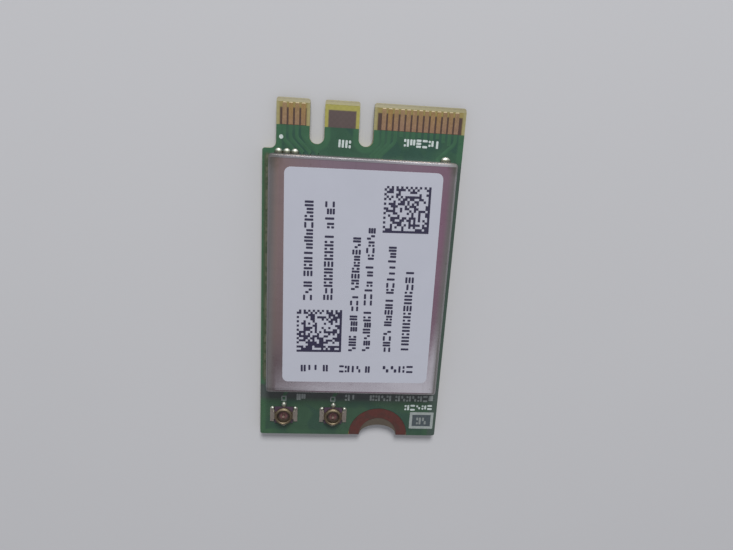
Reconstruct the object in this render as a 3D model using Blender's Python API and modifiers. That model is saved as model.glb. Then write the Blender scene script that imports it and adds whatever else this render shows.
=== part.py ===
"""Laptop wifi card: a keyed plug-in circuit board with a soldered shield can, a label, two
miniature coaxial receptacles and a half-moon for its screw.

Metres, +Z up. The card lies flat with its label up. The origin is under its middle, on the
surface that it lies on. +Y points to the edge with the contacts, +X to the side away from
the stepped shoulder.
"""

import math

import bmesh
import bpy
from mathutils import Matrix, Vector

MM = 0.001

# Board
BOARD_WIDTH = 16.5 * MM
BOARD_LENGTH = 30.0 * MM
BOARD_THICKNESS = 0.8 * MM
FILM_THICKNESS = 0.04 * MM
BOARD_CORNER_RADIUS = 0.2 * MM
DATUM_FROM_LEFT = 11.0 * MM
TONGUE_INSET = 1.1 * MM
SHOULDER_PAST_KEYS = 0.5 * MM
SHOULDER_FILLET = 0.5 * MM
TIP_RADIUS = 0.18 * MM
BEVEL_LENGTH = 0.35 * MM
BEVEL_DEPTH = 0.2 * MM

# Key notches, measured from the datum towards the left
KEY_WIDTH = 1.2 * MM
KEY_DEPTH = 3.5 * MM
KEY_A_OFFSET = 6.625 * MM
KEY_E_OFFSET = 2.625 * MM

# Contacts
PAD_PITCH = 0.5 * MM
PAD_WIDTH = 0.35 * MM
PAD_CORNER_RADIUS = 0.08 * MM
FIRST_PAD_OFFSET = 9.25 * MM
PAD_FRONT_SLOPE = 0.05 * MM
PAD_EDGE_MARGIN = 0.34 * MM
MASK_FROM_LEAD = 2.12 * MM
MASK_SETBACK = 0.01 * MM
FILM_GAP = 0.03 * MM

# Screw half-moon, cut shallower than the round inner edge of its copper ring
MOON_RADIUS = 1.75 * MM
MOON_DEPTH = 1.05 * MM
RING_WIDTH = 1.0 * MM
RING_SETBACK = 0.04 * MM

# Shield can
CAN_FROM_SHOULDER = 0.37 * MM
CAN_FROM_TAIL = 4.9 * MM
CAN_FROM_LEFT = 0.62 * MM
CAN_FROM_RIGHT = 0.58 * MM
CAN_HEIGHT = 1.42 * MM
CAN_WALL = 0.15 * MM
CAN_BEND_RADIUS = 0.3 * MM
CAN_SLIT_WIDTH = 0.12 * MM
CAN_SLIT_REACH = 0.6 * MM
CAN_SLIT_HEIGHT = 0.75 * MM

# Label
LABEL_FROM_CAN_LEFT = 1.38 * MM
LABEL_FROM_CAN_RIGHT = 1.1 * MM
LABEL_FROM_CAN_LEAD = 0.91 * MM
LABEL_FROM_CAN_TAIL = 1.25 * MM
LABEL_THICKNESS = 0.07 * MM
LABEL_CORNER_RADIUS = 0.5 * MM
LABEL_TILT = math.radians(0.5)

# Solder at the can's corners
SOLDER_REACH = 0.42 * MM
SOLDER_HEIGHT = 0.24 * MM
SOLDER_LUMP_LENGTH = 0.35 * MM
SOLDER_LUMP_PITCH = 0.66 * MM
LEFT_SOLDER_FROM_CAN_SIDE = 0.71 * MM
RIGHT_SOLDER_FROM_CAN_SIDE = 0.81 * MM
RIGHT_SOLDER_LUMP_LENGTH = 0.45 * MM

# Coaxial receptacles
RECEPTACLE_FROM_LEFT = 2.16 * MM
RECEPTACLE_SPACING = 4.55 * MM
RECEPTACLE_FROM_TAIL = 2.03 * MM
RECEPTACLE_HEIGHT = 0.6 * MM
SOCKET_OUTER_RADIUS = 0.78 * MM
SOCKET_WALL = 0.2 * MM
SOCKET_LIP = 0.05 * MM
SOCKET_GROOVE = 0.05 * MM
INSULATOR_WIDTH = 1.66 * MM
INSULATOR_LENGTH = 1.56 * MM
INSULATOR_HEIGHT = 0.19 * MM
LUG_WIDTH = 0.4 * MM
LUG_LENGTH = 1.36 * MM
ARM_WIDTH = 0.7 * MM
ARM_THICKNESS = 0.1 * MM
REAR_LUG_WIDTH = 0.46 * MM
REAR_LUG_REACH = 0.27 * MM
CENTRE_PIN_RADIUS = 0.11 * MM
CENTRE_PIN_HEIGHT = 0.5 * MM
TAIL_WIDTH = 0.4 * MM
TAIL_THICKNESS = 0.06 * MM
TAIL_REACH = 1.2 * MM

# Parts under the can
RADIO_CHIP_SIDE = 7.0 * MM
RADIO_CHIP_HEIGHT = 0.85 * MM
MEMORY_CHIP_WIDTH = 3.0 * MM
MEMORY_CHIP_LENGTH = 2.0 * MM
FRONT_END_SIDE = 2.5 * MM
SMALL_PACKAGE_HEIGHT = 0.6 * MM
CRYSTAL_WIDTH = 2.0 * MM
CRYSTAL_LENGTH = 2.5 * MM
CRYSTAL_HEIGHT = 0.55 * MM
CRYSTAL_LID_STEP = 0.1 * MM
INDUCTOR_WIDTH = 2.0 * MM
INDUCTOR_LENGTH = 1.6 * MM
INDUCTOR_HEIGHT = 0.9 * MM
CAPACITOR_WIDTH = 1.0 * MM
CAPACITOR_LENGTH = 0.5 * MM
CAPACITOR_HEIGHT = 0.5 * MM
CAPACITOR_PITCH = 1.8 * MM
PART_SPACING = 1.2 * MM
WALL_CLEARANCE = 1.0 * MM
PACKAGE_STANDOFF = 0.04 * MM
LEAD_PITCH = 0.5 * MM
LEAD_WIDTH = 0.24 * MM
LEAD_REACH = 0.03 * MM
LEAD_HEIGHT = 0.2 * MM
END_CAP_WIDTH = 0.26 * MM
END_CAP_STEP = 0.02 * MM

# Clearances
SEAT_GAP = 0.01 * MM
CONTACT_GAP = 0.02 * MM
BOND_LINE = 0.005 * MM

# Facets
ARC_STEP = math.radians(15)
RING_STEPS = 36
BEND_STEPS = 4
CUT_PAST = 0.5 * MM

# Derived places
LEFT = -BOARD_WIDTH / 2
RIGHT = BOARD_WIDTH / 2
TAIL = -BOARD_LENGTH / 2
LEAD = BOARD_LENGTH / 2
DATUM = LEFT + DATUM_FROM_LEFT
TONGUE_LEFT = LEFT + TONGUE_INSET
SHOULDER = LEAD - KEY_DEPTH - SHOULDER_PAST_KEYS
KEYS = (DATUM - KEY_A_OFFSET, DATUM - KEY_E_OFFSET)
BOARD_TOP = BOARD_THICKNESS
LAMINATE_BOTTOM = FILM_THICKNESS + BOND_LINE
LAMINATE_TOP = BOARD_TOP - FILM_THICKNESS - BOND_LINE
SEAT = BOARD_TOP + SEAT_GAP
RING_OUTER_RADIUS = MOON_RADIUS + RING_WIDTH
CAN_LEFT = LEFT + CAN_FROM_LEFT
CAN_RIGHT = RIGHT - CAN_FROM_RIGHT
CAN_LEAD = SHOULDER - CAN_FROM_SHOULDER
CAN_TAIL = TAIL + CAN_FROM_TAIL
CAN_TOP = SEAT + CAN_HEIGHT
CAN_MIDDLE = ((CAN_LEFT + CAN_RIGHT) / 2, (CAN_LEAD + CAN_TAIL) / 2)
ROOM_LEFT = CAN_LEFT + CAN_WALL + WALL_CLEARANCE
ROOM_RIGHT = CAN_RIGHT - CAN_WALL - WALL_CLEARANCE
ROOM_LEAD = CAN_LEAD - CAN_WALL - WALL_CLEARANCE
ROOM_TAIL = CAN_TAIL + CAN_WALL + WALL_CLEARANCE


def clear_scene():
    for obj in list(bpy.data.objects):
        bpy.data.objects.remove(obj, do_unlink=True)


def make_collection(name):
    collection = bpy.data.collections.new(name)
    bpy.context.scene.collection.children.link(collection)
    return collection


def make_material(name, colour, roughness, metallic=0.0):
    material = bpy.data.materials.new(name)
    material.use_nodes = True
    shader = material.node_tree.nodes["Principled BSDF"]
    shader.inputs["Base Color"].default_value = (*colour, 1.0)
    shader.inputs["Roughness"].default_value = roughness
    shader.inputs["Metallic"].default_value = metallic
    return material


def add_object(name, mesh, material=None, collection=None):
    obj = bpy.data.objects.new(name, mesh)
    (collection or PARTS).objects.link(obj)
    if material:
        mesh.materials.append(material)
    return obj


def add_tool(name, mesh):
    """A shape that only cuts or joins a part."""
    obj = add_object(name, mesh, collection=TOOLS)
    obj.hide_render = True
    obj.display_type = "WIRE"
    return obj


def combine(obj, tool, operation):
    modifier = obj.modifiers.new(f"{operation.lower()} {tool.name}", "BOOLEAN")
    modifier.operation = operation
    modifier.object = tool


def shade_round(mesh):
    mesh.shade_smooth()
    mesh.set_sharp_from_angle(angle=math.radians(35))


# Outlines and basic solids


def rounded(corners):
    """Outline points from (x, y, radius) corners, each corner's arc in equal steps."""
    points = []
    count = len(corners)
    for i, (x, y, radius) in enumerate(corners):
        corner = Vector((x, y))
        if not radius:
            points.append(corner)
            continue
        before = (Vector(corners[i - 1][:2]) - corner).normalized()
        after = (Vector(corners[(i + 1) % count][:2]) - corner).normalized()
        half = before.angle(after) / 2
        centre = corner + (before + after).normalized() * radius / math.sin(half)
        start = corner + before * radius / math.tan(half) - centre
        end = corner + after * radius / math.tan(half) - centre
        sweep = start.angle_signed(end)
        steps = max(2, round(abs(sweep) / ARC_STEP))
        for step in range(steps + 1):
            turn = Matrix.Rotation(-sweep * step / steps, 2)
            points.append(centre + turn @ start)
    kept = [p for i, p in enumerate(points) if (p - points[i - 1]).length > 1e-7]
    return kept


def plate_mesh(name, points, bottom, thickness):
    """A flat plate with this outline, from a filled 2D curve made a mesh."""
    curve = bpy.data.curves.new(name, "CURVE")
    curve.dimensions = "2D"
    curve.fill_mode = "BOTH"
    curve.extrude = thickness / 2
    spline = curve.splines.new("POLY")
    spline.points.add(len(points) - 1)
    for place, point in zip(spline.points, points):
        place.co = (point.x, point.y, 0.0, 1.0)
    spline.use_cyclic_u = True
    guide = bpy.data.objects.new(name + "_outline", curve)
    TOOLS.objects.link(guide)
    guide.location.z = bottom + thickness / 2
    bpy.context.view_layer.update()
    graph = bpy.context.evaluated_depsgraph_get()
    mesh = bpy.data.meshes.new_from_object(guide.evaluated_get(graph))
    mesh.name = name
    mesh.transform(guide.matrix_world)
    bpy.data.objects.remove(guide, do_unlink=True)
    bpy.data.curves.remove(curve)
    shell = bmesh.new()
    shell.from_mesh(mesh)
    bmesh.ops.remove_doubles(shell, verts=shell.verts, dist=1e-7)
    bmesh.ops.recalc_face_normals(shell, faces=shell.faces)
    shell.to_mesh(mesh)
    shell.free()
    return mesh


def box_mesh(name, low, high, turn=0.0, bevel=0.0):
    """A box between two corners, turned about its own upright axis, with its edges eased."""
    low, high = Vector(low), Vector(high)
    size = high - low
    shell = bmesh.new()
    bmesh.ops.create_cube(shell, size=1.0, matrix=Matrix.Diagonal((*size, 1.0)))
    if bevel:
        bmesh.ops.bevel(
            shell, geom=shell.edges[:], offset=bevel, segments=2, profile=0.5, affect="EDGES"
        )
    place = Matrix.Translation((low + high) / 2) @ Matrix.Rotation(turn, 4, "Z")
    bmesh.ops.transform(shell, matrix=place, verts=shell.verts)
    mesh = bpy.data.meshes.new(name)
    shell.to_mesh(mesh)
    shell.free()
    return mesh


def disc_mesh(name, centre, radius, bottom, top, steps=24):
    shell = bmesh.new()
    middle = Vector((centre[0], centre[1], (bottom + top) / 2))
    bmesh.ops.create_cone(
        shell,
        cap_ends=True,
        segments=steps,
        radius1=radius,
        radius2=radius,
        depth=top - bottom,
        matrix=Matrix.Translation(middle),
    )
    mesh = bpy.data.meshes.new(name)
    shell.to_mesh(mesh)
    shell.free()
    return mesh


def turned_object(name, profile, centre, material):
    """A solid turned from a closed (radius, height) profile that runs down its outer side."""
    mesh = bpy.data.meshes.new(name)
    points = [(radius, 0.0, height) for radius, height in profile]
    edges = [(i, (i + 1) % len(points)) for i in range(len(points))]
    mesh.from_pydata(points, edges, [])
    obj = add_object(name, mesh, material)
    obj.location = (*centre, 0.0)
    screw = obj.modifiers.new("turn", "SCREW")
    screw.steps = RING_STEPS
    screw.render_steps = RING_STEPS
    screw.use_merge_vertices = True
    screw.merge_threshold = 1e-7
    screw.use_smooth_shade = False
    return obj


# Board, films and contacts


def moon_outline(half_width, depth):
    """The half-moon's edge from left to right, as half an ellipse."""
    steps = RING_STEPS // 2
    turns = [math.pi * (1 - i / steps) for i in range(steps + 1)]
    return [
        (DATUM + half_width * math.cos(t), TAIL + depth * math.sin(t), 0.0) for t in turns
    ]


def card_outline(lead, setback, moon, tip_radius):
    """The card's outline, drawn in from its true edges by the setback, up to the line lead.

    The tail edge follows its moon's own points, whose ends may stand on a set back tail.
    """
    left, right, tail = LEFT + setback, RIGHT - setback, TAIL + setback
    corner = BOARD_CORNER_RADIUS
    corners = [(left, tail, corner)]
    corners += [(x, max(y, tail), radius) for x, y, radius in moon]
    corners += [(right, tail, corner), (right, lead, tip_radius)]
    half_key = KEY_WIDTH / 2 + setback
    key_floor = LEAD - KEY_DEPTH - setback
    for key in reversed(KEYS):
        corners += [
            (key + half_key, lead, tip_radius),
            (key + half_key, key_floor, half_key),
            (key - half_key, key_floor, half_key),
            (key - half_key, lead, tip_radius),
        ]
    corners += [
        (TONGUE_LEFT + setback, lead, tip_radius),
        (TONGUE_LEFT + setback, SHOULDER - setback, SHOULDER_FILLET),
        (left, SHOULDER - setback, corner),
    ]
    return rounded(corners)


def bevel_cutter(name, face, outward):
    """A turned box whose face slopes from the board's flat face down to its leading edge."""
    slope = math.atan2(BEVEL_DEPTH, BEVEL_LENGTH) * outward
    reach = 2 * BEVEL_LENGTH
    shell = bmesh.new()
    size = (BOARD_WIDTH + 2 * CUT_PAST, 4 * reach, 2 * reach)
    bmesh.ops.create_cube(shell, size=1.0, matrix=Matrix.Diagonal((*size, 1.0)))
    lift = Matrix.Translation((0.0, 0.0, outward * reach))
    turn = Matrix.Rotation(-slope, 4, "X")
    place = Matrix.Translation((0.0, LEAD - BEVEL_LENGTH, face))
    bmesh.ops.transform(shell, matrix=place @ turn @ lift, verts=shell.verts)
    mesh = bpy.data.meshes.new(name)
    shell.to_mesh(mesh)
    shell.free()
    return add_tool(name, mesh)


def circuit_board():
    outline = card_outline(LEAD, 0.0, moon_outline(MOON_RADIUS, MOON_DEPTH), TIP_RADIUS)
    thickness = LAMINATE_TOP - LAMINATE_BOTTOM
    mesh = plate_mesh("circuit_board", outline, LAMINATE_BOTTOM, thickness)
    board = add_object("circuit_board", mesh, LAMINATE)
    combine(board, bevel_cutter("upper_bevel", LAMINATE_TOP, 1), "DIFFERENCE")
    combine(board, bevel_cutter("lower_bevel", LAMINATE_BOTTOM, -1), "DIFFERENCE")


def solder_mask(name, bottom):
    reach = RING_OUTER_RADIUS + FILM_GAP
    outline = card_outline(LEAD - MASK_FROM_LEAD, MASK_SETBACK, moon_outline(reach, reach), 0.0)
    add_object(name, plate_mesh(name, outline, bottom, FILM_THICKNESS), SOLDER_MASK)


def screw_ring(name, bottom):
    """The half ring of bare copper that the screw's head rests on."""

    def arc(radius):
        start = math.asin(RING_SETBACK / radius)
        sweep = math.pi - 2 * start
        steps = RING_STEPS // 2
        turns = [start + sweep * i / steps for i in range(steps + 1)]
        return [Vector((DATUM + radius * math.cos(t), TAIL + radius * math.sin(t))) for t in turns]

    outline = arc(RING_OUTER_RADIUS) + arc(MOON_RADIUS + RING_SETBACK)[::-1]
    add_object(name, plate_mesh(name, outline, bottom, FILM_THICKNESS), BARE_COPPER)


def tabs():
    """The tongue's outer two tabs, which carry contacts, as (left, right) pairs."""
    half = KEY_WIDTH / 2
    return ((TONGUE_LEFT, KEYS[0] - half), (KEYS[1] + half, RIGHT))


def contact_row(side, bottom, outer_face, first_pin, shift):
    """Gold fingers wherever one fits on a tab, named for their pin numbers."""
    margin = PAD_EDGE_MARGIN + PAD_WIDTH / 2
    back = LEAD - MASK_FROM_LEAD + FILM_GAP
    front = LEAD - BEVEL_LENGTH - FILM_GAP / 2
    start = DATUM - FIRST_PAD_OFFSET + shift
    for place in range(math.ceil((RIGHT - start) / PAD_PITCH)):
        x = start + place * PAD_PITCH
        if not any(low + margin <= x <= high - margin for low, high in tabs()):
            continue
        name = f"contact_{side}_{first_pin + 2 * place:02d}"
        half = PAD_WIDTH / 2
        outline = rounded(
            [
                (x - half, back, 0.0),
                (x + half, back, 0.0),
                (x + half, front, PAD_CORNER_RADIUS),
                (x - half, front, PAD_CORNER_RADIUS),
            ]
        )
        mesh = plate_mesh(name, outline, bottom, FILM_THICKNESS)
        slope_front(mesh, front - PAD_CORNER_RADIUS, outer_face)
        add_object(name, mesh, GOLD)


def slope_front(mesh, start, outer_face):
    """Draws a finger's outer face back from its front end, past the line start."""
    for vertex in mesh.vertices:
        if vertex.co.y > start - BOND_LINE and abs(vertex.co.z - outer_face) < BOND_LINE:
            vertex.co.y -= PAD_FRONT_SLOPE


# Shield can, label and solder


def shield_can():
    """One drawn sheet: a flat top, four walls on round bends, and slits at the corners."""
    size = Vector((CAN_RIGHT - CAN_LEFT, CAN_LEAD - CAN_TAIL, CAN_HEIGHT))
    centre = Vector((*CAN_MIDDLE, SEAT + CAN_HEIGHT / 2))
    shell = bmesh.new()
    place = Matrix.Translation(centre) @ Matrix.Diagonal((*size, 1.0))
    bmesh.ops.create_cube(shell, size=1.0, matrix=place)
    bends = [e for e in shell.edges if any(v.co.z > centre.z for v in e.verts)]
    bmesh.ops.bevel(
        shell,
        geom=bends,
        offset=CAN_BEND_RADIUS,
        segments=BEND_STEPS,
        profile=0.5,
        affect="EDGES",
    )
    floor = [f for f in shell.faces if f.normal.z < -0.5]
    bmesh.ops.delete(shell, geom=floor, context="FACES_ONLY")
    mesh = bpy.data.meshes.new("shield_can")
    shell.to_mesh(mesh)
    shell.free()
    shade_round(mesh)
    can = add_object("shield_can", mesh, TINNED_STEEL)
    wall = can.modifiers.new("sheet thickness", "SOLIDIFY")
    wall.thickness = CAN_WALL
    wall.offset = -1.0
    wall.use_even_offset = True
    for i, (x, y) in enumerate(can_corners()):
        same_side = (x - CAN_MIDDLE[0]) * (y - CAN_MIDDLE[1]) > 0
        turn = math.radians(45 if same_side else -45)
        reach, half = CAN_SLIT_REACH, CAN_SLIT_WIDTH / 2
        low = (x - reach, y - half, BOARD_TOP - CUT_PAST)
        high = (x + reach, y + half, SEAT + CAN_SLIT_HEIGHT)
        slit = add_tool(f"corner_slit_{i + 1}", box_mesh(f"corner_slit_{i + 1}", low, high, turn))
        combine(can, slit, "DIFFERENCE")


def can_corners():
    return [(x, y) for x in (CAN_LEFT, CAN_RIGHT) for y in (CAN_TAIL, CAN_LEAD)]


def label():
    left, right = CAN_LEFT + LABEL_FROM_CAN_LEFT, CAN_RIGHT - LABEL_FROM_CAN_RIGHT
    tail, lead = CAN_TAIL + LABEL_FROM_CAN_TAIL, CAN_LEAD - LABEL_FROM_CAN_LEAD
    radius = LABEL_CORNER_RADIUS
    corners = [(left, tail), (right, tail), (right, lead), (left, lead)]
    outline = rounded([(x, y, radius) for x, y in corners])
    middle = Vector(((left + right) / 2, (tail + lead) / 2))
    turn = Matrix.Rotation(LABEL_TILT, 2)
    outline = [middle + turn @ (point - middle) for point in outline]
    mesh = plate_mesh("label", outline, CAN_TOP + BOND_LINE, LABEL_THICKNESS)
    add_object("label", mesh, PAPER)


def solder_joint(name, middle_x, lumps, lump_length):
    """Solder lumps run together along the foot of the can's wall."""
    face = CAN_LEAD + CONTACT_GAP
    meshes = []
    for i in range(lumps):
        shell = bmesh.new()
        x = middle_x + (i - (lumps - 1) / 2) * SOLDER_LUMP_PITCH
        size = Matrix.Diagonal((lump_length, SOLDER_REACH, SOLDER_HEIGHT, 1.0))
        place = Matrix.Translation((x, face, SEAT))
        bmesh.ops.create_uvsphere(
            shell, u_segments=16, v_segments=10, radius=1.0, matrix=place @ size
        )
        mesh = bpy.data.meshes.new(f"{name}_lump_{i + 1}")
        shell.to_mesh(mesh)
        shell.free()
        shade_round(mesh)
        meshes.append(mesh)
    joint = add_object(name, meshes[0], SOLDER)
    for mesh in meshes[1:]:
        combine(joint, add_tool(mesh.name, mesh), "UNION")
    reach = lumps * SOLDER_LUMP_PITCH + CUT_PAST
    low = (middle_x - reach, face, SEAT)
    high = (middle_x + reach, face + 2 * SOLDER_REACH, SEAT + 2 * SOLDER_HEIGHT)
    room = add_tool(f"{name}_room", box_mesh(f"{name}_room", low, high))
    combine(joint, room, "INTERSECT")


# Coaxial receptacles


def ground_contact(name, centre):
    """The turned socket with its snap groove, on strips that step down to flat feet."""
    bottom = SEAT + INSULATOR_HEIGHT + SEAT_GAP
    top = SEAT + RECEPTACLE_HEIGHT
    outer, inner = SOCKET_OUTER_RADIUS, SOCKET_OUTER_RADIUS - SOCKET_WALL
    lip, groove = SOCKET_LIP, SOCKET_GROOVE
    waist = (top + bottom + ARM_THICKNESS) / 2
    profile = [
        (outer - lip, top),
        (outer, top - lip),
        (outer, waist + groove),
        (outer - groove, waist),
        (outer, waist - groove),
        (outer, bottom),
        (inner, bottom),
        (inner, top - lip),
        (inner + lip, top),
    ]
    contact = turned_object(name, profile, centre, SOCKET_GOLD)
    add_strips(contact, centre, outer - SOCKET_WALL / 2, bottom)


def strip_mesh(name, centre, turn, width, profile):
    """A strip with this (reach, height) profile, turned about the upright axis at centre."""
    shell = bmesh.new()
    face = shell.faces.new(
        [shell.verts.new((reach, -width / 2, height)) for reach, height in profile]
    )
    made = bmesh.ops.extrude_face_region(shell, geom=[face])
    moved = [v for v in made["geom"] if isinstance(v, bmesh.types.BMVert)]
    bmesh.ops.translate(shell, vec=(0.0, width, 0.0), verts=moved)
    bmesh.ops.recalc_face_normals(shell, faces=shell.faces)
    place = Matrix.Translation((*centre, 0.0)) @ Matrix.Rotation(turn, 4, "Z")
    bmesh.ops.transform(shell, matrix=place, verts=shell.verts)
    mesh = bpy.data.meshes.new(name)
    shell.to_mesh(mesh)
    shell.free()
    return mesh


def add_strips(contact, centre, root, bottom):
    """Joins a strip and its foot to the socket on each side and at the rear."""
    side = (INSULATOR_WIDTH / 2 + CONTACT_GAP, LUG_WIDTH, ARM_WIDTH, LUG_LENGTH)
    rear = (INSULATOR_LENGTH / 2 + CONTACT_GAP, REAR_LUG_REACH, REAR_LUG_WIDTH, REAR_LUG_WIDTH)
    sheet = ARM_THICKNESS
    quarter = math.pi / 2
    for place, turns, sizes in (("right", 0, side), ("left", 2, side), ("rear", -1, rear)):
        inner, reach, arm_width, foot_width = sizes
        arm = [
            (root, bottom),
            (inner, bottom),
            (inner, SEAT),
            (inner + sheet, SEAT),
            (inner + sheet, bottom + sheet),
            (root, bottom + sheet),
        ]
        foot = [
            (inner + sheet / 2, SEAT),
            (inner + reach, SEAT),
            (inner + reach, SEAT + sheet),
            (inner + sheet / 2, SEAT + sheet),
        ]
        for part, width, profile in (("arm", arm_width, arm), ("foot", foot_width, foot)):
            tool_name = f"{contact.name}_{place}_{part}"
            mesh = strip_mesh(tool_name, centre, turns * quarter, width, profile)
            combine(contact, add_tool(tool_name, mesh), "UNION")


def insulator(name, centre):
    """The dark moulding between the feet, with a tunnel for the centre contact's tail."""
    x, y = centre
    half_width, half_length = INSULATOR_WIDTH / 2, INSULATOR_LENGTH / 2
    low = (x - half_width, y - half_length, SEAT)
    high = (x + half_width, y + half_length, SEAT + INSULATOR_HEIGHT)
    block = add_object(name, box_mesh(name, low, high), DARK_MOULDING)
    half_tunnel = TAIL_WIDTH / 2 + CONTACT_GAP
    tunnel_low = (x - half_tunnel, y - half_tunnel, SEAT - CUT_PAST)
    tunnel_high = (x + half_tunnel, y + half_length + CUT_PAST, SEAT + TAIL_THICKNESS + CONTACT_GAP)
    tunnel = add_tool(f"{name}_tunnel", box_mesh(f"{name}_tunnel", tunnel_low, tunnel_high))
    combine(block, tunnel, "DIFFERENCE")
    radius = CENTRE_PIN_RADIUS + CONTACT_GAP
    hole = disc_mesh(f"{name}_hole", centre, radius, SEAT - CUT_PAST, SEAT + RECEPTACLE_HEIGHT)
    combine(block, add_tool(f"{name}_hole", hole), "DIFFERENCE")


def centre_contact(name, centre):
    """The pin in the middle of the socket and the tail that leaves under the insulator."""
    x, y = centre
    half = TAIL_WIDTH / 2
    low, high = (x - half, y - half, SEAT), (x + half, y + TAIL_REACH, SEAT + TAIL_THICKNESS)
    tail = add_object(name, box_mesh(name, low, high), GOLD)
    foot, top = SEAT + TAIL_THICKNESS / 2, SEAT + CENTRE_PIN_HEIGHT
    pin = disc_mesh(f"{name}_pin", centre, CENTRE_PIN_RADIUS, foot, top)
    combine(tail, add_tool(f"{name}_pin", pin), "UNION")


def receptacles():
    for i in range(2):
        x = LEFT + RECEPTACLE_FROM_LEFT + i * RECEPTACLE_SPACING
        centre = (x, TAIL + RECEPTACLE_FROM_TAIL)
        number = i + 1
        insulator(f"receptacle_{number}_insulator", centre)
        ground_contact(f"receptacle_{number}_socket", centre)
        centre_contact(f"receptacle_{number}_centre_contact", centre)


# Parts under the can


def leaded_package(name, centre, size):
    """A flat moulded package with its terminals round its foot."""
    width, length, height = size
    x, y = centre
    low = (x - width / 2, y - length / 2, SEAT + PACKAGE_STANDOFF)
    high = (x + width / 2, y + length / 2, SEAT + height)
    package = add_object(name, box_mesh(name, low, high), DARK_MOULDING)
    reach_x, reach_y = width / 2 + LEAD_REACH, length / 2 + LEAD_REACH
    half = LEAD_WIDTH / 2
    comb = bmesh.new()
    for across, along, sideways in ((reach_x, length, True), (reach_y, width, False)):
        count = int((along - LEAD_PITCH) / LEAD_PITCH)
        for i in range(count):
            step = (i - (count - 1) / 2) * LEAD_PITCH
            spans = ((across, half) if sideways else (half, across))
            offset = (0.0, step) if sideways else (step, 0.0)
            bar = (2 * spans[0], 2 * spans[1], LEAD_HEIGHT, 1.0)
            middle = (x + offset[0], y + offset[1], SEAT + LEAD_HEIGHT / 2)
            bmesh.ops.create_cube(
                comb, size=1.0, matrix=Matrix.Translation(middle) @ Matrix.Diagonal(bar)
            )
    mesh = bpy.data.meshes.new(f"{name}_terminals")
    comb.to_mesh(mesh)
    comb.free()
    combine(package, add_tool(f"{name}_terminals", mesh), "UNION")
    package.modifiers[-1].use_self = True


def end_capped_block(name, centre, size, material):
    """A ceramic block with a metal cap round each end."""
    width, length, height = size
    x, y = centre
    step = END_CAP_STEP
    low = (x - width / 2 + step, y - length / 2 + step, SEAT + step)
    high = (x + width / 2 - step, y + length / 2 - step, SEAT + height - step)
    block = add_object(name, box_mesh(name, low, high), material)
    cap = END_CAP_WIDTH
    for end, start in (("left", x - width / 2), ("right", x + width / 2 - cap)):
        cap_low = (start, y - length / 2, SEAT)
        cap_high = (start + cap, y + length / 2, SEAT + height)
        tool_name = f"{name}_{end}_cap"
        combine(block, add_tool(tool_name, box_mesh(tool_name, cap_low, cap_high)), "UNION")


def lidded_crystal(name, centre, size):
    """A ceramic base with a welded metal lid."""
    width, length, height = size
    x, y = centre
    rim = CRYSTAL_LID_STEP
    base_top = SEAT + height - 2 * rim
    base = box_mesh(
        name, (x - width / 2, y - length / 2, SEAT), (x + width / 2, y + length / 2, base_top)
    )
    crystal = add_object(name, base, CERAMIC)
    lid_low = (x - width / 2 + rim, y - length / 2 + rim, base_top - rim)
    lid_high = (x + width / 2 - rim, y + length / 2 - rim, SEAT + height)
    lid = add_tool(f"{name}_lid", box_mesh(f"{name}_lid", lid_low, lid_high, bevel=rim / 3))
    combine(crystal, lid, "UNION")


def parts_under_can():
    """Rows of parts set out from the can's inner walls, the power parts along its lead end."""
    row = ROOM_LEAD - INDUCTOR_LENGTH / 2
    inductor = (ROOM_LEFT + INDUCTOR_WIDTH / 2, row)
    inductor_size = (INDUCTOR_WIDTH, INDUCTOR_LENGTH, INDUCTOR_HEIGHT)
    end_capped_block("power_inductor", inductor, inductor_size, FERRITE)
    capacitor_size = (CAPACITOR_WIDTH, CAPACITOR_LENGTH, CAPACITOR_HEIGHT)
    first = ROOM_LEFT + INDUCTOR_WIDTH + PART_SPACING + CAPACITOR_WIDTH / 2
    for i in range(4):
        place = (first + i * CAPACITOR_PITCH, row)
        end_capped_block(f"capacitor_{i + 1}", place, capacitor_size, CERAMIC)
    chip = ROOM_LEAD - INDUCTOR_LENGTH - PART_SPACING - RADIO_CHIP_SIDE / 2
    chip_size = (RADIO_CHIP_SIDE, RADIO_CHIP_SIDE, RADIO_CHIP_HEIGHT)
    leaded_package("radio_chip", (ROOM_LEFT + RADIO_CHIP_SIDE / 2, chip), chip_size)
    crystal_size = (CRYSTAL_WIDTH, CRYSTAL_LENGTH, CRYSTAL_HEIGHT)
    lidded_crystal("reference_crystal", (ROOM_RIGHT - CRYSTAL_WIDTH / 2, chip), crystal_size)
    front_end_size = (FRONT_END_SIDE, FRONT_END_SIDE, SMALL_PACKAGE_HEIGHT)
    for i in range(2):
        x = ROOM_LEFT + FRONT_END_SIDE / 2 + i * (FRONT_END_SIDE + PART_SPACING)
        place = (x, ROOM_TAIL + FRONT_END_SIDE / 2)
        leaded_package(f"front_end_module_{i + 1}", place, front_end_size)
    memory = (ROOM_RIGHT - MEMORY_CHIP_WIDTH / 2, ROOM_TAIL + MEMORY_CHIP_LENGTH / 2)
    memory_size = (MEMORY_CHIP_WIDTH, MEMORY_CHIP_LENGTH, SMALL_PACKAGE_HEIGHT)
    leaded_package("memory_chip", memory, memory_size)


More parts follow.
